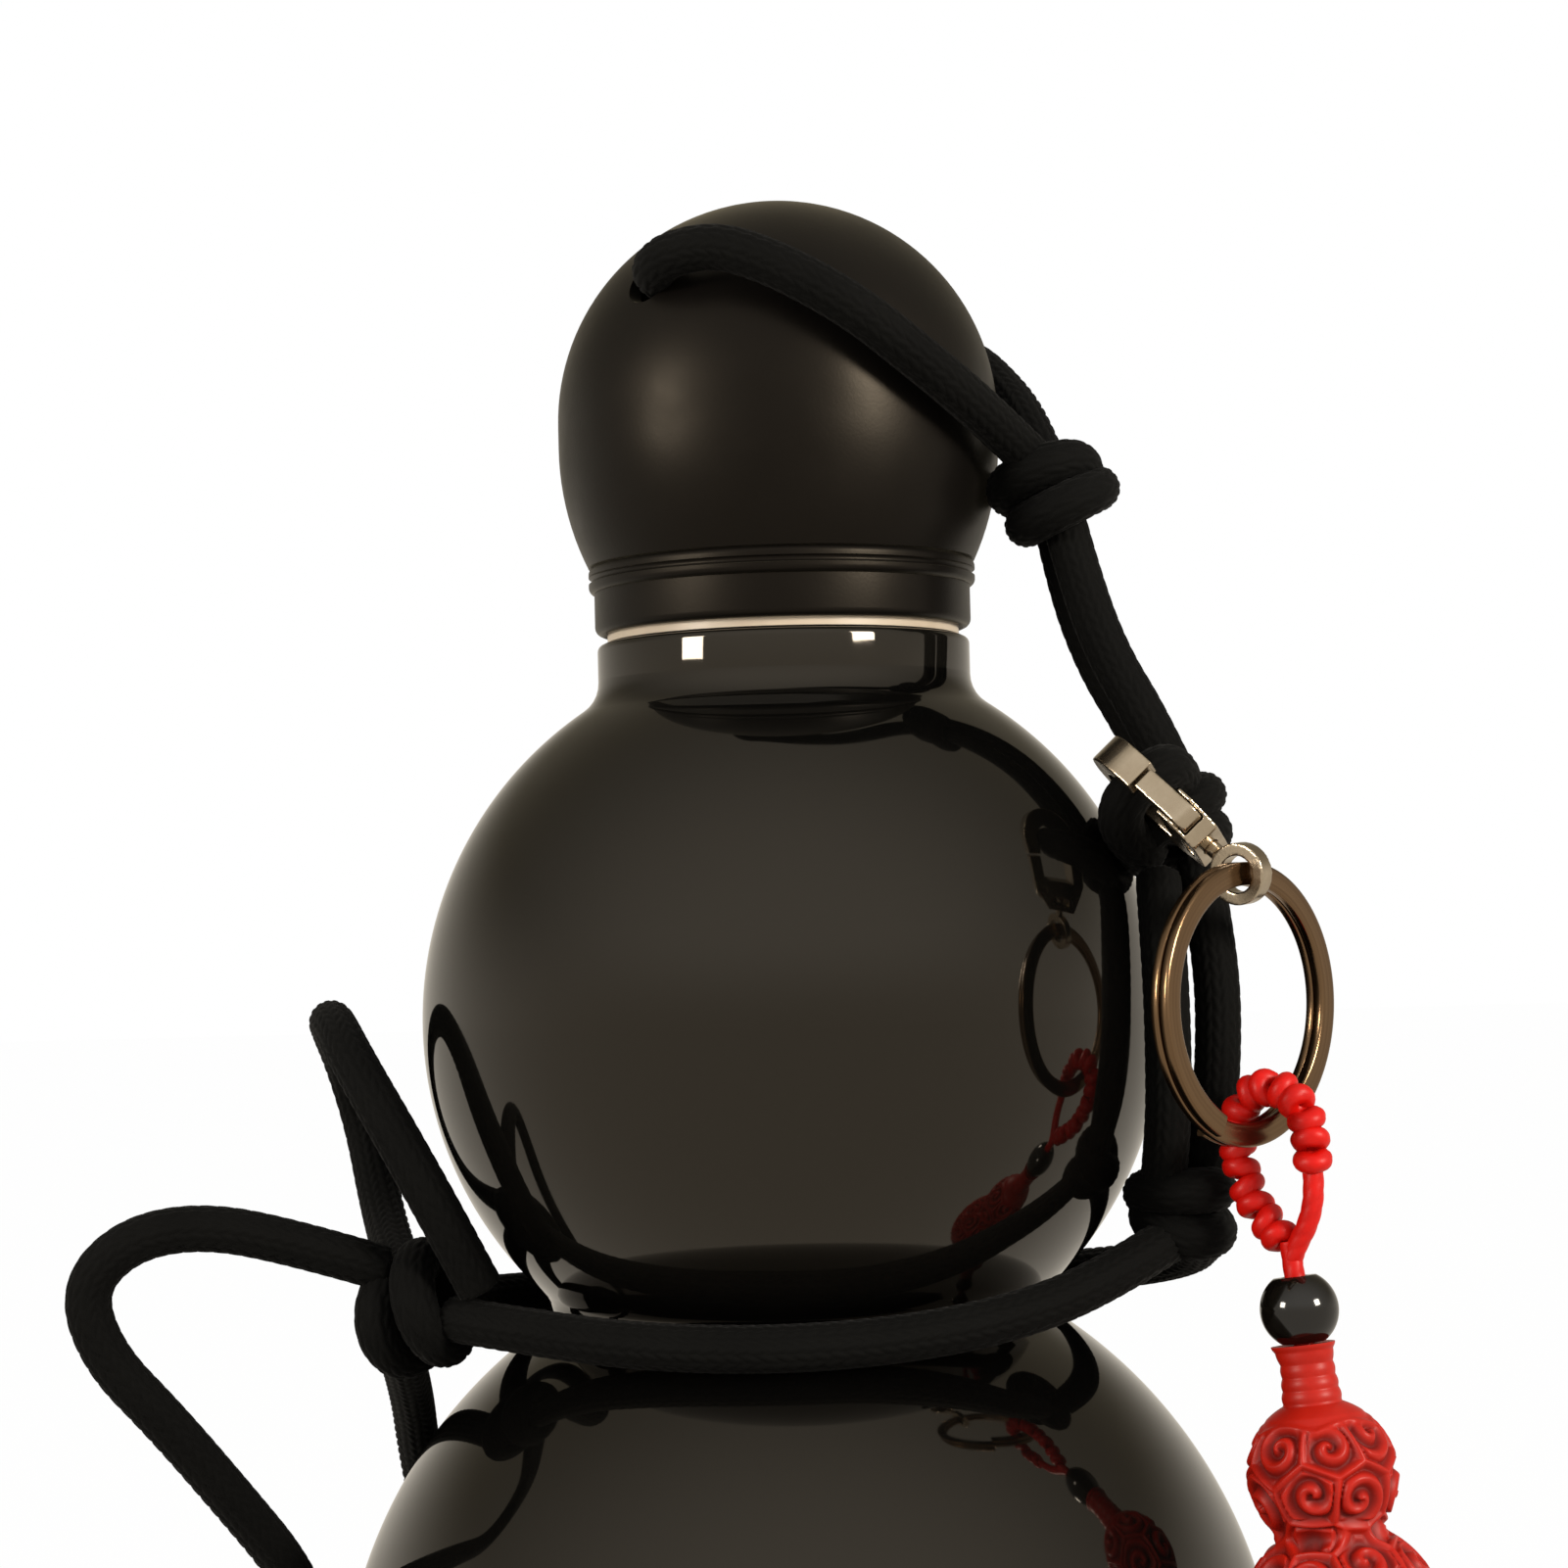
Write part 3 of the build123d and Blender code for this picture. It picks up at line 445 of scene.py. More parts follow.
# Bottle: a gourd of two bulbs, a neck band and a screw finish, in gloss black plastic: one blown wall,
# 2.2 mm thick, parted above the shoulder as in the CAD. It stands on its cut base.
low_radius, low_centre = 47.2, 37.7
top_radius, top_centre = 37.5, 107.9
bottle_wall, waist_round, base_round = 2.2, 2.5, 1.2
band_radius, band_height, shoulder_round, ledge_round = 19.0, 5.8, 3.6, 0.7
finish_radius, finish_height, lip_round, mouth_radius = 15.7, 14.0, 0.8, 13.3
thread_lead, thread_turns, thread_depth, thread_start = 4.2, 1.5, 1.0, 2.9
thread_root, thread_crest, thread_fade = 1.8, 1.0, 1 / 8
finish_row = 0.25
bottle_columns = 256
crease_angle = radians(38)


def arc(centre, radius, start, end, step=1.0):
    """Points of an arc in the plane of (radius, height), from one angle in degrees to another."""
    count = max(int(abs(radians(end - start)) * radius / step), 6)
    angle = np.radians(np.linspace(start, end, count))
    return np.stack([centre[0] + radius * np.cos(angle), centre[1] + radius * np.sin(angle)], axis=-1)


def bearing(centre, point):
    """Angle in degrees from one point of the plane of (radius, height) to another."""
    return degrees(atan2(point[1] - centre[1], point[0] - centre[0]))


def turned(name, profile, ridge=0.0, columns=192, foot=(0, 0, 0), up=(0, 0, 1)):
    """A profile of (radius, height) points, in millimetres, turned about an axis that starts at foot.

    A ridge stands out from the profile by its height at each row and column. Edges sharper than
    the crease angle stay crisp.
    """
    axis = Vector(up).normalized()
    side = axis.orthogonal().normalized()
    other = axis.cross(side)
    turn = np.arange(columns)[:, None] * 2 * pi / columns
    outward = np.cos(turn) * np.array(side) + np.sin(turn) * np.array(other)
    radius = (profile[:, :1] + ridge) * np.ones(columns)
    grid = np.array(foot) + profile[:, None, 1:] * np.array(axis) + radius[..., None] * outward
    piece = surface(name, grid * mm)
    piece.data.set_sharp_from_angle(angle=crease_angle)
    return piece


low_reach, top_reach = low_radius + waist_round, top_radius + waist_round
bulb_spacing = top_centre - low_centre
waist_rise = (low_reach**2 - top_reach**2 + bulb_spacing**2) / (2 * bulb_spacing)
waist = (sqrt(low_reach**2 - waist_rise**2), low_centre + waist_rise)
low, top = (0, low_centre), (0, top_centre)
low_inner, top_inner = low_radius - bottle_wall, top_radius - bottle_wall
base_edge = (sqrt((low_radius - base_round) ** 2 - (low_centre - base_round) ** 2), base_round)
shoulder_reach, shoulder_out = top_radius + shoulder_round, band_radius + shoulder_round
shoulder = (shoulder_out, top_centre + sqrt(shoulder_reach**2 - shoulder_out**2))
ledge = top_centre + sqrt(top_radius**2 - band_radius**2) + band_height
finish_top = ledge + finish_height
finish_rows = np.arange(ledge, finish_top - lip_round, finish_row)
low_to_waist, top_to_waist = bearing(low, waist), bearing(top, waist)
seam = shoulder[1]
bulbs_profile = np.concatenate([
    [(0, 0)],
    arc(base_edge, base_round, -90, bearing(low, base_edge)),
    arc(low, low_radius, bearing(low, base_edge), low_to_waist)[1:],
    arc(waist, waist_round, 180 + low_to_waist, 180 + top_to_waist)[1:],
    arc(top, top_radius, top_to_waist, bearing(top, shoulder))[1:],
    arc(shoulder, shoulder_round, 180 + bearing(top, shoulder), 180)[1:],
    [(mouth_radius, seam)],
    arc(top, top_inner, degrees(acos(mouth_radius / top_inner)), top_to_waist),
    arc(waist, waist_round + bottle_wall, 180 + top_to_waist, 180 + low_to_waist)[1:],
    arc(low, low_inner, low_to_waist, -degrees(asin((low_centre - bottle_wall) / low_inner)))[1:],
    [(0, bottle_wall)],
])
neck_profile = np.concatenate([
    [(mouth_radius, seam), (band_radius, seam)],
    arc((band_radius - ledge_round, ledge - ledge_round), ledge_round, 0, 90),
    np.stack([np.full(len(finish_rows), finish_radius), finish_rows], axis=1),
    arc((finish_radius - lip_round, finish_top - lip_round), lip_round, 0, 90),
    arc((mouth_radius + lip_round, finish_top - lip_round), lip_round, 90, 180),
    [(mouth_radius, seam)],
])
thread_rise = neck_profile[:, 1:] - ledge - thread_start
turns = np.arange(bottle_columns) / bottle_columns
turns = turns + np.round(thread_rise / thread_lead - turns)
from_crest = np.abs(thread_rise - thread_lead * turns)
flank = (thread_root - thread_crest) / 2
fade = np.clip(np.minimum(turns, thread_turns - turns) / thread_fade, 0, 1)
thread = thread_depth * fade * np.clip((thread_root / 2 - from_crest) / flank, 0, 1)
on_finish = np.isclose(neck_profile[:, :1], finish_radius)
bulbs = turned("bottle_bulbs_blown", bulbs_profile, columns=bottle_columns)
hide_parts("bottle_lower_bulb", "bottle_upper_bulb")
neck = turned("bottle_neck_blown", neck_profile, thread * on_finish, bottle_columns)
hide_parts("bottle_neck")
for piece in (bulbs, neck):
    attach(piece, "bottle")

# Gloss black blown plastic: a mirror-like skin over black, with the slow ripple that blowing leaves
gloss_black, tree, place = new_tree("gloss_black_blown_plastic")
ripple = put(tree, "TexNoise", {
    "Vector": place["Object"], "Scale": 1 / (22 * mm), "Detail": 1.0, "Roughness": 0.4,
})
wavy = put(tree, "Bump", {"Height": ripple, "Strength": 0.35, "Distance": 0.12 * mm})
scuff = put(tree, "TexNoise", {
    "Vector": place["Object"], "Scale": 1 / (6 * mm), "Detail": 5.0, "Roughness": 0.65,
})
haze = put(tree, "MapRange", {
    "Value": scuff, "From Min": 0.45, "From Max": 0.8, "To Min": 0.035, "To Max": 0.10,
})
shader = put(tree, "BsdfPrincipled", {
    "Base Color": linear("#0D0C0A"), "Roughness": haze, "IOR": 1.5,
    "Specular Tint": linear("#FFF3E2"), "Normal": wavy,
})
put(tree, "OutputMaterial", {"Surface": shader})
for piece in (bulbs, neck):
    piece.data.materials.append(gloss_black)

# The windows' own mirror images are kept off the bulbs, where the photograph shows none
unlit = bpy.data.collections.new("kept_off_the_bulbs")
unlit.objects.link(bulbs)
unlit.collection_objects[0].light_linking.link_state = "EXCLUDE"
for lamp in [piece for piece in scene.objects if piece.type == "LIGHT"]:
    lamp.light_linking.receiver_collection = unlit


# Cap: a ball on a grooved collar and a short skirt, a black moulding with a satin soft-touch coat.
# Two holes low under its crown pass the cord. It screws down over the bottle's finish.
cap_lift, skirt_height, skirt_radius, skirt_round = 1.0, 4.2, 19.2, 0.8
collar_height, collar_radius, collar_edge = 2.7, 19.75, 0.7
groove_depth, skirt_edge, edge_step = 0.35, 0.3, 0.1
ball_radius, ball_rise, cheek_drop = 22.5, 22.5, 2.4
cap_wall, cap_bore, seat_bore = 1.4, 18.0, 16.45
cord_hole_radius, cord_hole_rise, cord_hole_way, drill_reach = 2.65, 12.6, (12.3, 14.3, 0), 30
seat_rise, seat_ring_height = 16.9, 1.2
ball_centre, skirt_bottom, seat_low = ledge + ball_rise, ledge + cap_lift, ledge + seat_rise
seat_high, cord_hole_height = seat_low + seat_ring_height, ball_centre + cord_hole_rise
collar_bottom = skirt_bottom + skirt_height
collar_top = collar_bottom + collar_height
cheek_rise, cheek_inset = ball_centre - cheek_drop - collar_top, ball_radius - collar_radius
cheek_radius = (cheek_inset**2 + cheek_rise**2) / (2 * cheek_inset)
cavity = ball_radius - cap_wall
cap_profile = np.concatenate([
    arc((0, ball_centre), cavity, 90, degrees(asin((seat_high - ball_centre) / cavity))),
    [(seat_bore, seat_high), (seat_bore, seat_low)],
    [(cap_bore, seat_low), (cap_bore, skirt_bottom + skirt_edge)],
    arc((skirt_radius - skirt_round, skirt_bottom + skirt_round), skirt_round, -90, 0, 2 * edge_step),
    [(skirt_radius, collar_bottom - edge_step), (skirt_radius, collar_bottom)],
    arc((collar_radius - collar_edge, collar_bottom + collar_edge), collar_edge, -90, 0, edge_step),
    arc((collar_radius, collar_bottom + collar_height / 2), groove_depth, 270, 90, edge_step),
    arc((collar_radius - collar_edge, collar_top - collar_edge), collar_edge, 0, 60, edge_step),
    arc((ball_radius - cheek_radius, ball_centre - cheek_drop), cheek_radius,
        -degrees(asin(cheek_rise / cheek_radius)), 0),
    arc((0, ball_centre), ball_radius, 0, 90),
])


def settled(piece):
    """The piece with its modifiers worked into its mesh."""
    graph = bpy.context.evaluated_depsgraph_get()
    mesh = bpy.data.meshes.new_from_object(piece.evaluated_get(graph))
    piece.modifiers.clear()
    piece.data = mesh
    return piece


cap = turned("cap_satin_shell", cap_profile, columns=224)
drill_profile = np.array([(0, -drill_reach), (cord_hole_radius, -drill_reach),
                          (cord_hole_radius, drill_reach), (0, drill_reach)])
drill = turned("drill", drill_profile, columns=48, foot=(0, 0, cord_hole_height), up=cord_hole_way)
bored = cap.modifiers.new("cord_holes", "BOOLEAN")
bored.object = drill
bored.operation = "DIFFERENCE"
bored.solver = "EXACT"
settled(cap)
bpy.data.objects.remove(drill)
cap.data.set_sharp_from_angle(angle=crease_angle)
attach(cap, "cap")
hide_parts("cap_shell")

# Soft-touch paint on black ABS: a fine matt grain that spreads highlights wide, rubbed a little smoother
satin_black, tree, place = new_tree("soft_touch_black_paint")
grain = put(tree, "TexNoise", {
    "Vector": place["Object"], "Scale": 1 / (0.35 * mm), "Roughness": 0.6,
})
paint = put(tree, "Bump", {"Height": grain, "Strength": 0.25, "Distance": 0.03 * mm})
rubbed = put(tree, "TexNoise", {
    "Vector": place["Object"], "Scale": 1 / (11 * mm), "Detail": 4.0, "Roughness": 0.6,
})
sheen = put(tree, "MapRange", {
    "Value": rubbed, "From Min": 0.35, "From Max": 0.7, "To Min": 0.36, "To Max": 0.46,
})
shader = put(tree, "BsdfPrincipled", {
    "Base Color": linear("#060505"), "Roughness": sheen, "IOR": 1.5,
    "Specular IOR Level": 0.14, "Specular Tint": linear("#FFEFD8"), "Normal": paint,
    "Sheen Weight": 0.1, "Sheen Roughness": 0.35, "Sheen Tint": linear("#E8DDBE"),
})
put(tree, "OutputMaterial", {"Surface": shader})
cap.data.materials.append(satin_black)


# Thread insert and seal: a pale screw cup pressed into the cap, whose rim shows under the skirt, and
# a soft ring in its roof that seats on the bottle's lip. The insert is turned, the seal punched.
def finish_node(name, material):
    """A piece of the frame takes one material over all its faces."""
    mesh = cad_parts[name].data
    mesh.materials.clear()
    mesh.materials.append(material)


# Natural polypropylene: milky and waxy, a little light goes in under the skin
milky, tree, place = new_tree("natural_polypropylene")
cloud = put(tree, "TexNoise", {"Vector": place["Object"], "Scale": 1 / (4 * mm), "Detail": 3.0})
tone = put(tree, "Mix", {
    "Factor": cloud, "A": linear("#AA9B88"), "B": linear("#C4B6A2"),
}, data_type="RGBA")
shader = put(tree, "BsdfPrincipled", {
    "Base Color": tone.outputs["Result"], "Roughness": 0.38, "IOR": 1.49,
})
put(tree, "OutputMaterial", {"Surface": shader})
finish_node("cap_thread_insert", milky)

# Silicone rubber: matt and grey-white, with a dry skin
rubber, tree, place = new_tree("silicone_rubber")
dust = put(tree, "TexNoise", {"Vector": place["Object"], "Scale": 1 / (1.5 * mm), "Detail": 4.0})
tone = put(tree, "Mix", {
    "Factor": dust, "A": linear("#C9C7C2"), "B": linear("#D8D6D1"),
}, data_type="RGBA")
shader = put(tree, "BsdfPrincipled", {
    "Base Color": tone.outputs["Result"], "Roughness": 0.62, "IOR": 1.41,
})
put(tree, "OutputMaterial", {"Surface": shader})
finish_node("cap_seal", rubber)


# Clasp: a lobster clasp of die-cast zinc, barrel polished and nickelled: hook, sprung gate on its pin,
# and a swivelling eye. Tumbling rounds its edges, so each casting is the frame's own shape, softened.
casting_voxel = 0.11 * mm
casting_rounds, casting_pull = 7, 0.5


def cast(node, body, material):
    """The CAD solid, remeshed in even squares and relaxed, as tumbling rounds a casting's edges."""
    shape = bmesh.new()
    shape.from_mesh(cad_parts[node].data)
    bmesh.ops.remove_doubles(shape, verts=shape.verts, dist=weld)
    mesh = bpy.data.meshes.new(node + "_casting")
    shape.to_mesh(mesh)
    shape.free()
    mesh.materials.clear()
    mesh.materials.append(material)
    piece = bpy.data.objects.new(node + "_casting", mesh)
    scene.collection.objects.link(piece)
    remesh = piece.modifiers.new("even", "REMESH")
    remesh.mode = "VOXEL"
    remesh.voxel_size = casting_voxel
    remesh.use_smooth_shade = True
    tumble = piece.modifiers.new("tumble", "SMOOTH")
    tumble.iterations = casting_rounds
    tumble.factor = casting_pull
    settled(piece)
    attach(piece, body)
    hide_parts(node)
    return piece


# Nickel plate on a casting: a warm grey metal, bright where it is rubbed and faintly pitted
nickel, tree, place = new_tree("nickel_plated_zinc")
pits = put(tree, "TexNoise", {
    "Vector": place["Object"], "Scale": 1 / (0.5 * mm), "Detail": 3.0, "Roughness": 0.65,
})
orange_peel = put(tree, "Bump", {"Height": pits, "Strength": 0.3, "Distance": 0.03 * mm})
tarnish = put(tree, "TexNoise", {
    "Vector": place["Object"], "Scale": 1 / (3 * mm), "Detail": 4.0, "Roughness": 0.6,
})
tone = put(tree, "Mix", {
    "Factor": tarnish, "A": linear("#8E7F6C"), "B": linear("#CDBFA9"),
}, data_type="RGBA")
rub = put(tree, "MapRange", {
    "Value": tarnish, "From Min": 0.3, "From Max": 0.7, "To Min": 0.30, "To Max": 0.16,
})
shader = put(tree, "BsdfPrincipled", {
    "Base Color": tone.outputs["Result"], "Metallic": 1.0, "Roughness": rub, "Normal": orange_peel,
})
put(tree, "OutputMaterial", {"Surface": shader})
cast("clasp_hook_body", "clasp", nickel)
cast("clasp_gate", "gate", nickel)
cast("clasp_swivel_eye", "swivel", nickel)
finish_node("clasp_gate_pin", nickel)

# Spring steel wire: grey, drawn, with a dull polish
steel, tree, place = new_tree("drawn_spring_steel")
drawn = put(tree, "TexNoise", {"Vector": place["Object"], "Scale": 1 / (0.2 * mm)})
shine = put(tree, "MapRange", {"Value": drawn, "To Min": 0.22, "To Max": 0.42})
shader = put(tree, "BsdfPrincipled", {
    "Base Color": linear("#A6A39C"), "Metallic": 1.0, "Roughness": shine,
})
put(tree, "OutputMaterial", {"Surface": shader})
finish_node("clasp_gate_spring", steel)


# Split ring: two turns of flat steel wire, nickelled, hung in the clasp's eye. Its faces are rolled flat
# and its edges are round, so it shows bright edges beside browner faces.
ring_centre, ring_middle_radius = (42.5, -25.3, 108.7), 12.3
ring_width, ring_thickness, ring_pitch, ring_turns = 2.2, 1.0, 1.05, 2.0
ring_rows, ring_sides, off_corner = 420, 36, 0.01
ring_face = np.array([1.0, -1.0, 0.0]) / sqrt(2)
ring_foot = unit(np.array([-1 / sqrt(2), -1 / sqrt(2), -2.0]))
ring_side = np.cross(ring_face, ring_foot)


def squared(turn, width, thickness, power=0.45):
    """Section with flat faces and round corners: a cosine and a sine, each raised to a low power."""
    first = width / 2 * np.sign(np.cos(turn)) * np.abs(np.cos(turn)) ** power
    second = thickness / 2 * np.sign(np.sin(turn)) * np.abs(np.sin(turn)) ** power
    return first, second


ring_walk = np.linspace(0, 2 * pi * ring_turns, ring_rows)[:, None]
ring_outward = ring_foot * np.cos(ring_walk) + ring_side * np.sin(ring_walk)
ring_line = (np.array(ring_centre) + ring_middle_radius * ring_outward
             + ring_face * ring_pitch * (ring_walk / (2 * pi) - ring_turns / 2))
ring_section = np.arange(ring_sides) * 2 * pi / ring_sides + off_corner
radial, axial = squared(ring_section, ring_width, ring_thickness)
ring_grid = ring_line[:, None] + ring_outward[:, None] * radial[:, None] + ring_face * axial[:, None]
split_ring = surface("split_ring_wire", capped(ring_grid, ring_line) * mm)
split_ring.data.set_sharp_from_angle(angle=crease_angle)
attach(split_ring, "ring")
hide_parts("split_ring")

# Nickel plate on rolled wire: a warm mirror with fine lines of rolling along it
plated, tree, place = new_tree("nickel_plated_rolled_wire")
lines = put(tree, "Mapping", {"Vector": place["UV"], "Scale": (9.0, 0.6, 1.0)})
rolled = put(tree, "TexNoise", {"Vector": lines, "Scale": 6.0, "Detail": 4.0, "Roughness": 0.6})
scored = put(tree, "Bump", {"Height": rolled, "Strength": 0.25, "Distance": 0.03 * mm})
tone = put(tree, "Mix", {
    "Factor": rolled, "A": linear("#503A27"), "B": linear("#8E7458"),
}, data_type="RGBA")
shader = put(tree, "BsdfPrincipled", {
    "Base Color": tone.outputs["Result"], "Metallic": 1.0, "Roughness": 0.2, "Normal": scored,
})
put(tree, "OutputMaterial", {"Surface": shader})
split_ring.data.materials.append(plated)


# Charm: a red waxed cord doubled over the ring. One leg is tied in a row of snake knots, the other is
# left plain, and both go down as one tail through a bead and a carved gourd to a stop knot.
charm_top = np.array([45.258, -22.542, 97.035])
charm_up = unit(np.array([-0.096, 0.096, 0.991]))
charm_across = unit(ring_face - charm_up * (ring_face @ charm_up))
join_drop, end_knot_drop, red_cord_radius = 11.3, 57.55, 1.0
lay_length, plies, ply_dip, laid_step, laid_sides = 4.6 * mm, 3, 0.07, 0.22 * mm, 36
snake_pitch, snake_strand, snake_width, snake_tilt = 1.9, 1.02, 1.9, radians(20)
stop_reach, stop_rise, stop_swell, stop_strand = 1.05, 0.85, 0.12, 0.85


def charm_places(points):
    """Points given as (across, up) from the ring's wire, in millimetres, in the frame's own axes."""
    return [charm_top + charm_across * across + charm_up * rise for across, rise in points]


def joined(name, pieces):
    """Several pieces' meshes as one piece."""
    shape = bmesh.new()
    for piece in pieces:
        shape.from_mesh(piece.data)
        bpy.data.objects.remove(piece)
    mesh = bpy.data.meshes.new(name)
    shape.to_mesh(mesh)
    shape.free()
    whole = bpy.data.objects.new(name, mesh)
    scene.collection.objects.link(whole)
    return whole


def laid(name, path, radius, closed=False):
    """A laid cord: its section is a circle with a shallow dip between plies, turning once in each lay."""
    def section(turn, along):
        lay = plies * (turn - 2 * pi * along / lay_length) / 2
        return radius * mm * (1 - ply_dip * (1 - np.abs(np.cos(lay)) ** 0.6))

    return tube(name, path, laid_step, np.arange(laid_sides) * 2 * pi / laid_sides, section, closed)


tail_drops = (join_drop - 0.4, 22.0, 34.0, 46.0, end_knot_drop)
tail_route = [charm_top - charm_up * drop for drop in tail_drops]
tail_line = smooth_route("charm_tail", tail_route)
charm_tail, tail_path = laid("charm_tail_cord_laid", tail_line, red_cord_radius)
plain_route = charm_places([(3.9, -3.6), (3.7, -6.6), (2.5, -9.4), (0.7, -11.4), (0.0, -12.6)])
plain_leg, _ = laid("charm_plain_leg_laid", smooth_route("plain_leg", plain_route), red_cord_radius)
snake_route = charm_places([(-0.5, -11.0), (-3.2, -8.0), (-4.5, -4.2), (-4.5, 0.2), (-2.6, 3.5),
                            (1.3, 3.8), (3.9, 1.2), (4.1, -2.0), (3.9, -4.6)])
snake_line, snake_along = even(smooth_route("snake", snake_route), 0.1 * mm)
snake_first, snake_second = frames(snake_line)
snake_ways = unit(np.gradient(snake_line, axis=0))
snake_count = int(snake_along[-1] / (snake_pitch * mm))
snake_walk = np.linspace(0, 2 * pi, 49)[:, None]
snake_turns = []
for knot in range(snake_count):
    here = int((knot + 0.5) / snake_count * (len(snake_line) - 1))
    tilt = snake_tilt if knot % 2 == 0 else -snake_tilt
    lean = snake_second[here] * np.cos(tilt) + snake_ways[here] * np.sin(tilt)
    round_strand = np.cos(snake_walk) * snake_first[here] + np.sin(snake_walk) * lean
    loop = snake_line[here] + (snake_width - snake_strand) * mm * round_strand
    snake_turns.append(laid(f"snake_turn_{knot}", loop, snake_strand, closed=True)[0])
snake = joined("charm_snake_turns", snake_turns)
stop_walk = np.linspace(0, 4 * pi, 145)[:, None]
stop_round = charm_across * np.cos(stop_walk) + np.cross(charm_up, charm_across) * np.sin(stop_walk)
stop_line = (charm_top - charm_up * end_knot_drop
             + (stop_reach + stop_swell * np.cos(stop_walk / 2)) * stop_round
             + stop_rise * charm_up * np.sin(stop_walk / 2 + 0.4))
stop_knot, _ = laid("charm_stop_knot_turns", stop_line * mm, stop_strand, closed=True)

# Red waxed cord: tight polyester under wax, so it takes a soft broken highlight
waxed, tree, place = new_tree("red_waxed_cord")
wax = put(tree, "TexNoise", {
    "Vector": place["Object"], "Scale": 1 / (1.6 * mm), "Detail": 3.0, "Roughness": 0.6,
})
tone = put(tree, "Mix", {"Factor": wax, "A": linear("#A00602"), "B": linear("#C40F05")}, data_type="RGBA")
yarn = put(tree, "TexNoise", {"Vector": place["Object"], "Scale": 1 / (0.16 * mm)})
fibre = put(tree, "Bump", {"Height": yarn, "Strength": 0.3, "Distance": 0.03 * mm})
shader = put(tree, "BsdfPrincipled", {
    "Base Color": tone.outputs["Result"], "Roughness": 0.42, "Specular IOR Level": 0.22, "Normal": fibre,
})
put(tree, "OutputMaterial", {"Surface": shader})
red_pieces = {
    "charm_tail_cord": charm_tail, "charm_loop_cord": plain_leg, "charm_snake_knots": snake,
    "charm_end_knot": stop_knot,
}
for node, piece in red_pieces.items():
    piece.data.materials.append(waxed)
    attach(piece, "charm")
    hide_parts(node)


# Bead: a ball with its poles turned flat and a bored hole, in black glass, fire polished
bead_radius, bead_height, bead_drop, bore_radius, bore_round = 3.7, 6.2, 17.3, 1.08, 0.3
bead_lean = degrees(asin(bead_height / 2 / bead_radius))
bead_profile = np.concatenate([
    arc((0, 0), bead_radius, -bead_lean, bead_lean, 2 * edge_step),
    arc((bore_radius + bore_round, bead_height / 2 - bore_round), bore_round, 90, 180, edge_step),
    arc((bore_radius + bore_round, bore_round - bead_height / 2), bore_round, 180, 270, edge_step),
    [(bead_radius * np.cos(radians(bead_lean)), -bead_height / 2)],
])
bead_place = charm_top - charm_up * bead_drop
bead = turned("charm_bead_turned", bead_profile, columns=96, foot=bead_place, up=charm_up)
bead.data.set_sharp_from_angle(angle=radians(60))
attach(bead, "bead")
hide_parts("charm_bead")

# Black glass: dark right through, with a clear polish and slight waves from the flame
black_glass, tree, place = new_tree("polished_black_glass")
flame = put(tree, "TexNoise", {"Vector": place["Object"], "Scale": 1 / (2.4 * mm), "Detail": 1.0})
waved = put(tree, "Bump", {"Height": flame, "Strength": 0.25, "Distance": 0.05 * mm})
shader = put(tree, "BsdfPrincipled", {
    "Base Color": linear("#0A0806"), "Roughness": 0.1, "IOR": 1.52, "Normal": waved,
})
put(tree, "OutputMaterial", {"Surface": shader})
bead.data.materials.append(black_glass)


# Carved gourd: two bulbs under a ribbed neck with a flared lip, moulded from a carved lacquer master.
# Scrolls in raised cells cover both bulbs; a plain collar of leaves lies round the foot of the neck.
gourd_top_drop, small_drop, foot_drop, foot_radius = 20.5, 32.6, 55.45, 3.2
small_radius, large_radius, bulb_lap, waist_fillet = 7.1, 9.6, 2.9, 1.2
large_drop = small_drop + small_radius + large_radius - bulb_lap
neck_length, neck_waist, neck_rib_pitch, neck_rib, neck_rows = 6.6, 2.45, 1.2, 0.13, 70
lip_flare, lip_height, foot_flare, foot_start, foot_height = 0.42, 0.9, 0.4, 2.6, 4.0
carve_depth, scroll_pitch, cell_size, border_width = 0.75, 1.9, 5.9, 0.8
cell_spacing, cell_stray_round, cell_stray_up = 0.92, 0.12, 0.09
border_share, scroll_start, scroll_fullness = 0.55, 1.3, 0.8
leaf_count, leaf_start, leaf_length, leaf_edge, leaf_rim = 5, 4.3, 0.7, 0.45, 0.35
leaf_floor, carving_fade, bore_sink, dents = 0.72, 0.5, 0.15, 3
dented_lip, dent_height, gourd_columns, gourd_step = 0.16, 1.4, 288, 0.11
small, large = (0.0, -small_drop), (0.0, -large_drop)
fillet_small, fillet_large = small_radius + waist_fillet, large_radius + waist_fillet
bulb_gap = large_drop - small_drop
fillet_drop = (fillet_small**2 - fillet_large**2 + bulb_gap**2) / (2 * bulb_gap)
gourd_waist = (sqrt(fillet_small**2 - fillet_drop**2), -small_drop - fillet_drop)
neck_drop = np.linspace(0, neck_length, neck_rows)
neck_reach = (neck_waist + lip_flare * np.exp(-((neck_drop / lip_height) ** 2))
              + foot_flare * np.clip((neck_drop - foot_start) / foot_height, 0, 1)
              + neck_rib * np.abs(np.cos(pi * neck_drop / neck_rib_pitch)))
neck_meets = degrees(acos(neck_reach[-1] / small_radius))
small_to_waist, large_to_waist = bearing(small, gourd_waist), bearing(large, gourd_waist)
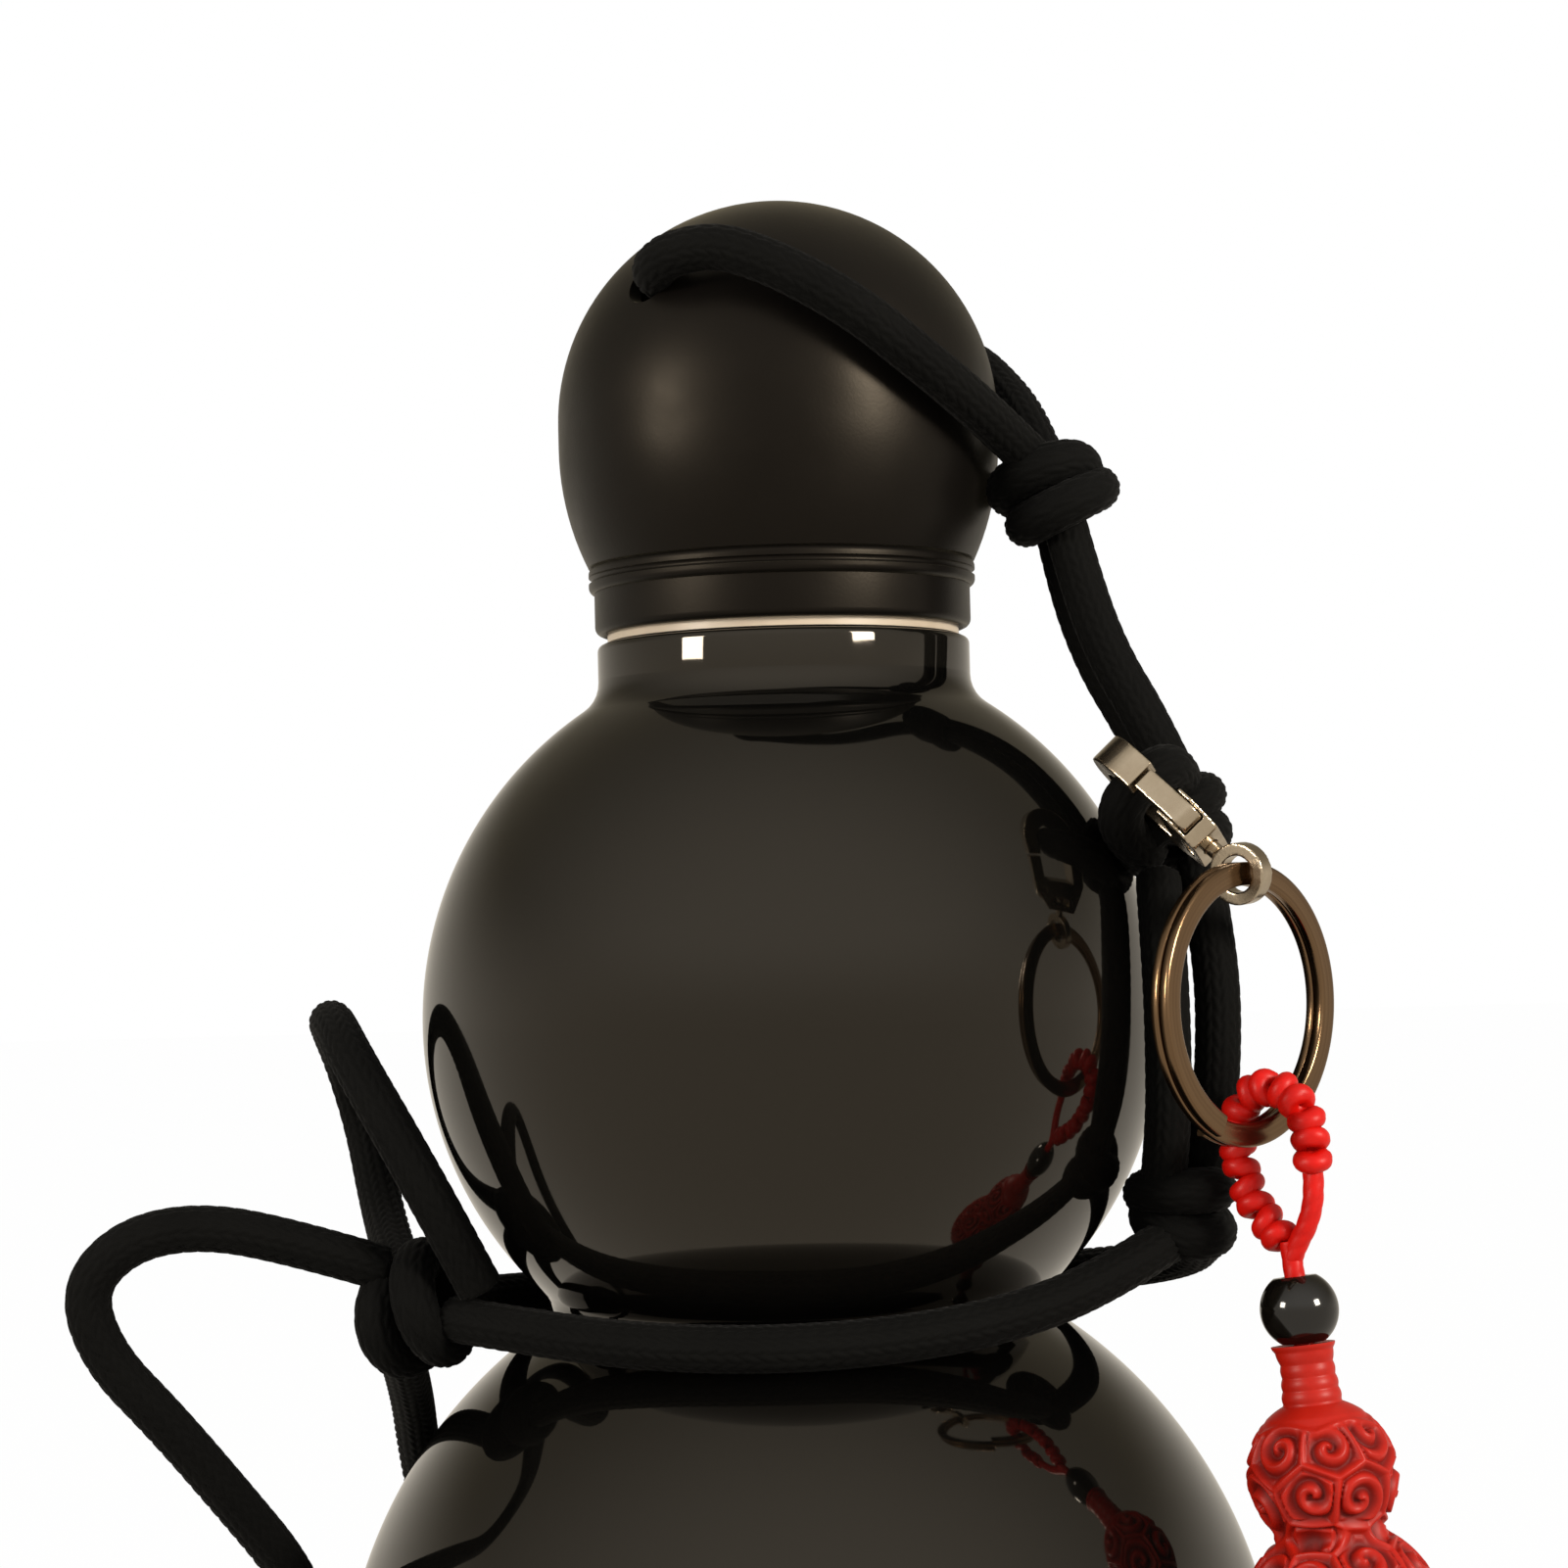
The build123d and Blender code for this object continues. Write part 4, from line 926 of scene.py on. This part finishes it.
gourd_outline = np.concatenate([
    np.stack([neck_reach, -gourd_top_drop - neck_drop], axis=1),
    arc(small, small_radius, neck_meets, small_to_waist, gourd_step),
    arc(gourd_waist, waist_fillet, 180 + small_to_waist, 180 + large_to_waist, gourd_step)[1:],
    arc(large, large_radius, large_to_waist, -degrees(acos(foot_radius / large_radius)), gourd_step)[1:],
])


def cell_centres(middle, radius, rows, first_row):
    """Middles of staggered cells on a ball: rows a cell apart, each row's cells spaced a cell apart."""
    centres = []
    for row in range(rows):
        row_height = radians(first_row) - row * cell_size * cell_spacing / radius
        count = max(int(round(2 * pi * radius * np.cos(row_height) / cell_size)), 3)
        around = (np.arange(count) + 0.5 * (row % 2)) * 2 * pi / count + 0.35
        around = around + cell_stray_round * np.sin(2.4 * np.arange(count) + row)
        for place, angle in enumerate(around):
            rise = row_height + cell_stray_up * np.sin(4.1 * place + 2.0 * row)
            out = np.array([np.cos(rise) * np.cos(angle), np.cos(rise) * np.sin(angle), np.sin(rise)])
            centres.append(np.array([0, 0, middle[1]]) + out * radius)
    return np.array(centres)


def scrolls(points, centres):
    """Height of the carving, 0 to 1: a raised border where two cells meet, and in each cell a spiral.

    The spiral is a cosine of the distance from the cell's middle less the angle about it, so its ridge
    winds outward by one pitch a turn. Every second cell winds the other way.
    """
    gaps = np.linalg.norm(points[:, None] - centres[None], axis=-1)
    order = np.argsort(gaps, axis=1)[:, :2]
    near, next_near = np.take_along_axis(gaps, order, axis=1).T
    middle = centres[order[:, 0]]
    east = unit(np.stack([-middle[:, 1], middle[:, 0], np.zeros(len(middle))], axis=1))
    offset = points - middle
    angle = np.arctan2(offset[:, 2], np.sum(offset * east, axis=1))
    hand = np.where(order[:, 0] % 2 == 0, 1.0, -1.0)
    spiral = 0.5 + 0.5 * np.cos(2 * pi * near / scroll_pitch - hand * angle - order[:, 0] * scroll_start)
    inside = np.clip((next_near - near) / border_width - border_share, 0, 1)
    border = np.exp(-(((next_near - near) / border_width) ** 2))
    return np.maximum(border, spiral**scroll_fullness * inside)


turn = np.arange(gourd_columns) * 2 * pi / gourd_columns
outline_reach, outline_level = gourd_outline[:, :1], gourd_outline[:, 1:]
gourd_points = np.stack([outline_reach * np.cos(turn), outline_reach * np.sin(turn),
                         outline_level * np.ones(gourd_columns)], axis=-1)
cells = np.concatenate([
    cell_centres(small, small_radius, rows=3, first_row=28.0),
    cell_centres(large, large_radius, rows=5, first_row=38.0),
])
carving = scrolls(gourd_points.reshape(-1, 3), cells).reshape(gourd_points.shape[:2])
leaf_tips = small_drop - leaf_start - leaf_length * np.abs(np.sin(leaf_count * turn / 2))
below_leaves = np.clip((-outline_level - leaf_tips) / leaf_edge, 0, 1)
leaf = leaf_floor + (1 - leaf_floor) * np.exp(-(((-outline_level - leaf_tips) / leaf_rim) ** 2))
on_bulbs = np.clip((-outline_level - gourd_top_drop - neck_length) / carving_fade, 0, 1)
carving = below_leaves * carving + (1 - below_leaves) * leaf
carving = 1 - on_bulbs * (1 - carving)
slope = np.gradient(gourd_outline, axis=0)
sunk = unit(np.stack([-slope[:, 1], slope[:, 0]], axis=1))[:, None] * (carve_depth * (carving - 1))[..., None]
reach, level = outline_reach + sunk[..., 0], outline_level + sunk[..., 1]
dent = dented_lip * np.exp(-((neck_drop / dent_height) ** 2))
reach[:neck_rows] += dent[:, None] * np.sin(dents * turn + 0.6)
gourd_side = np.array(Vector(charm_up).orthogonal().normalized())
gourd_back = np.cross(charm_up, gourd_side)
around = np.cos(turn)[:, None] * gourd_side + np.sin(turn)[:, None] * gourd_back
bore_reach = np.full((1, gourd_columns), bore_radius)
bore_top = np.full((1, gourd_columns), -gourd_top_drop - bore_sink)
reach = np.concatenate([bore_reach, reach, bore_reach, bore_reach])
bore_foot = np.full((1, gourd_columns), -foot_drop)
level = np.concatenate([bore_top, level, bore_foot, bore_top])
carving = np.concatenate([[carving[0]], carving, [carving[-1]], [carving[-1] * 0]])
gourd_grid = charm_top + level[..., None] * charm_up + reach[..., None] * around
gourd = surface("charm_gourd_carved", gourd_grid * mm, carving=carving)
gourd.data.set_sharp_from_angle(angle=radians(75))
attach(gourd, "gourd")
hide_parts("charm_gourd")

# Cinnabar lacquer: a saturated red with a soft polish on its ridges and matt in the recesses, where a darker
# red is painted in as shade
cinnabar, tree, place = new_tree("cinnabar_red_carved_lacquer")
carved = put(tree, "Attribute", attribute_name="carving")
# Painted shade mask: one on the raised carving, falling to nought where the carving sinks
painted_recess_shade = put(tree, "MapRange", {"Value": carved.outputs["Fac"], "From Max": 0.75})
mottle = put(tree, "TexNoise", {
    "Vector": place["Object"], "Scale": 1 / (2.2 * mm), "Detail": 4.0, "Roughness": 0.6,
})
ridge = put(tree, "Mix", {
    "Factor": mottle, "A": linear("#8C1006"), "B": linear("#A81A0A"),
}, data_type="RGBA")
# Painted shade: the dark red is laid in the recesses of the carving, standing in for the shade that falls
# there
tone = put(tree, "Mix", {
    "Factor": painted_recess_shade, "A": linear("#5A0602"), "B": ridge.outputs["Result"],
}, data_type="RGBA")
rough = put(tree, "MapRange", {"Value": carved.outputs["Fac"], "To Min": 0.62, "To Max": 0.42})
grit = put(tree, "Bump", {"Height": mottle, "Strength": 0.25, "Distance": 0.05 * mm})
shader = put(tree, "BsdfPrincipled", {
    "Base Color": tone.outputs["Result"], "Roughness": rough, "IOR": 1.5,
    "Specular IOR Level": 0.22, "Normal": grit,
})
put(tree, "OutputMaterial", {"Surface": shader})
gourd.data.materials.append(cinnabar)
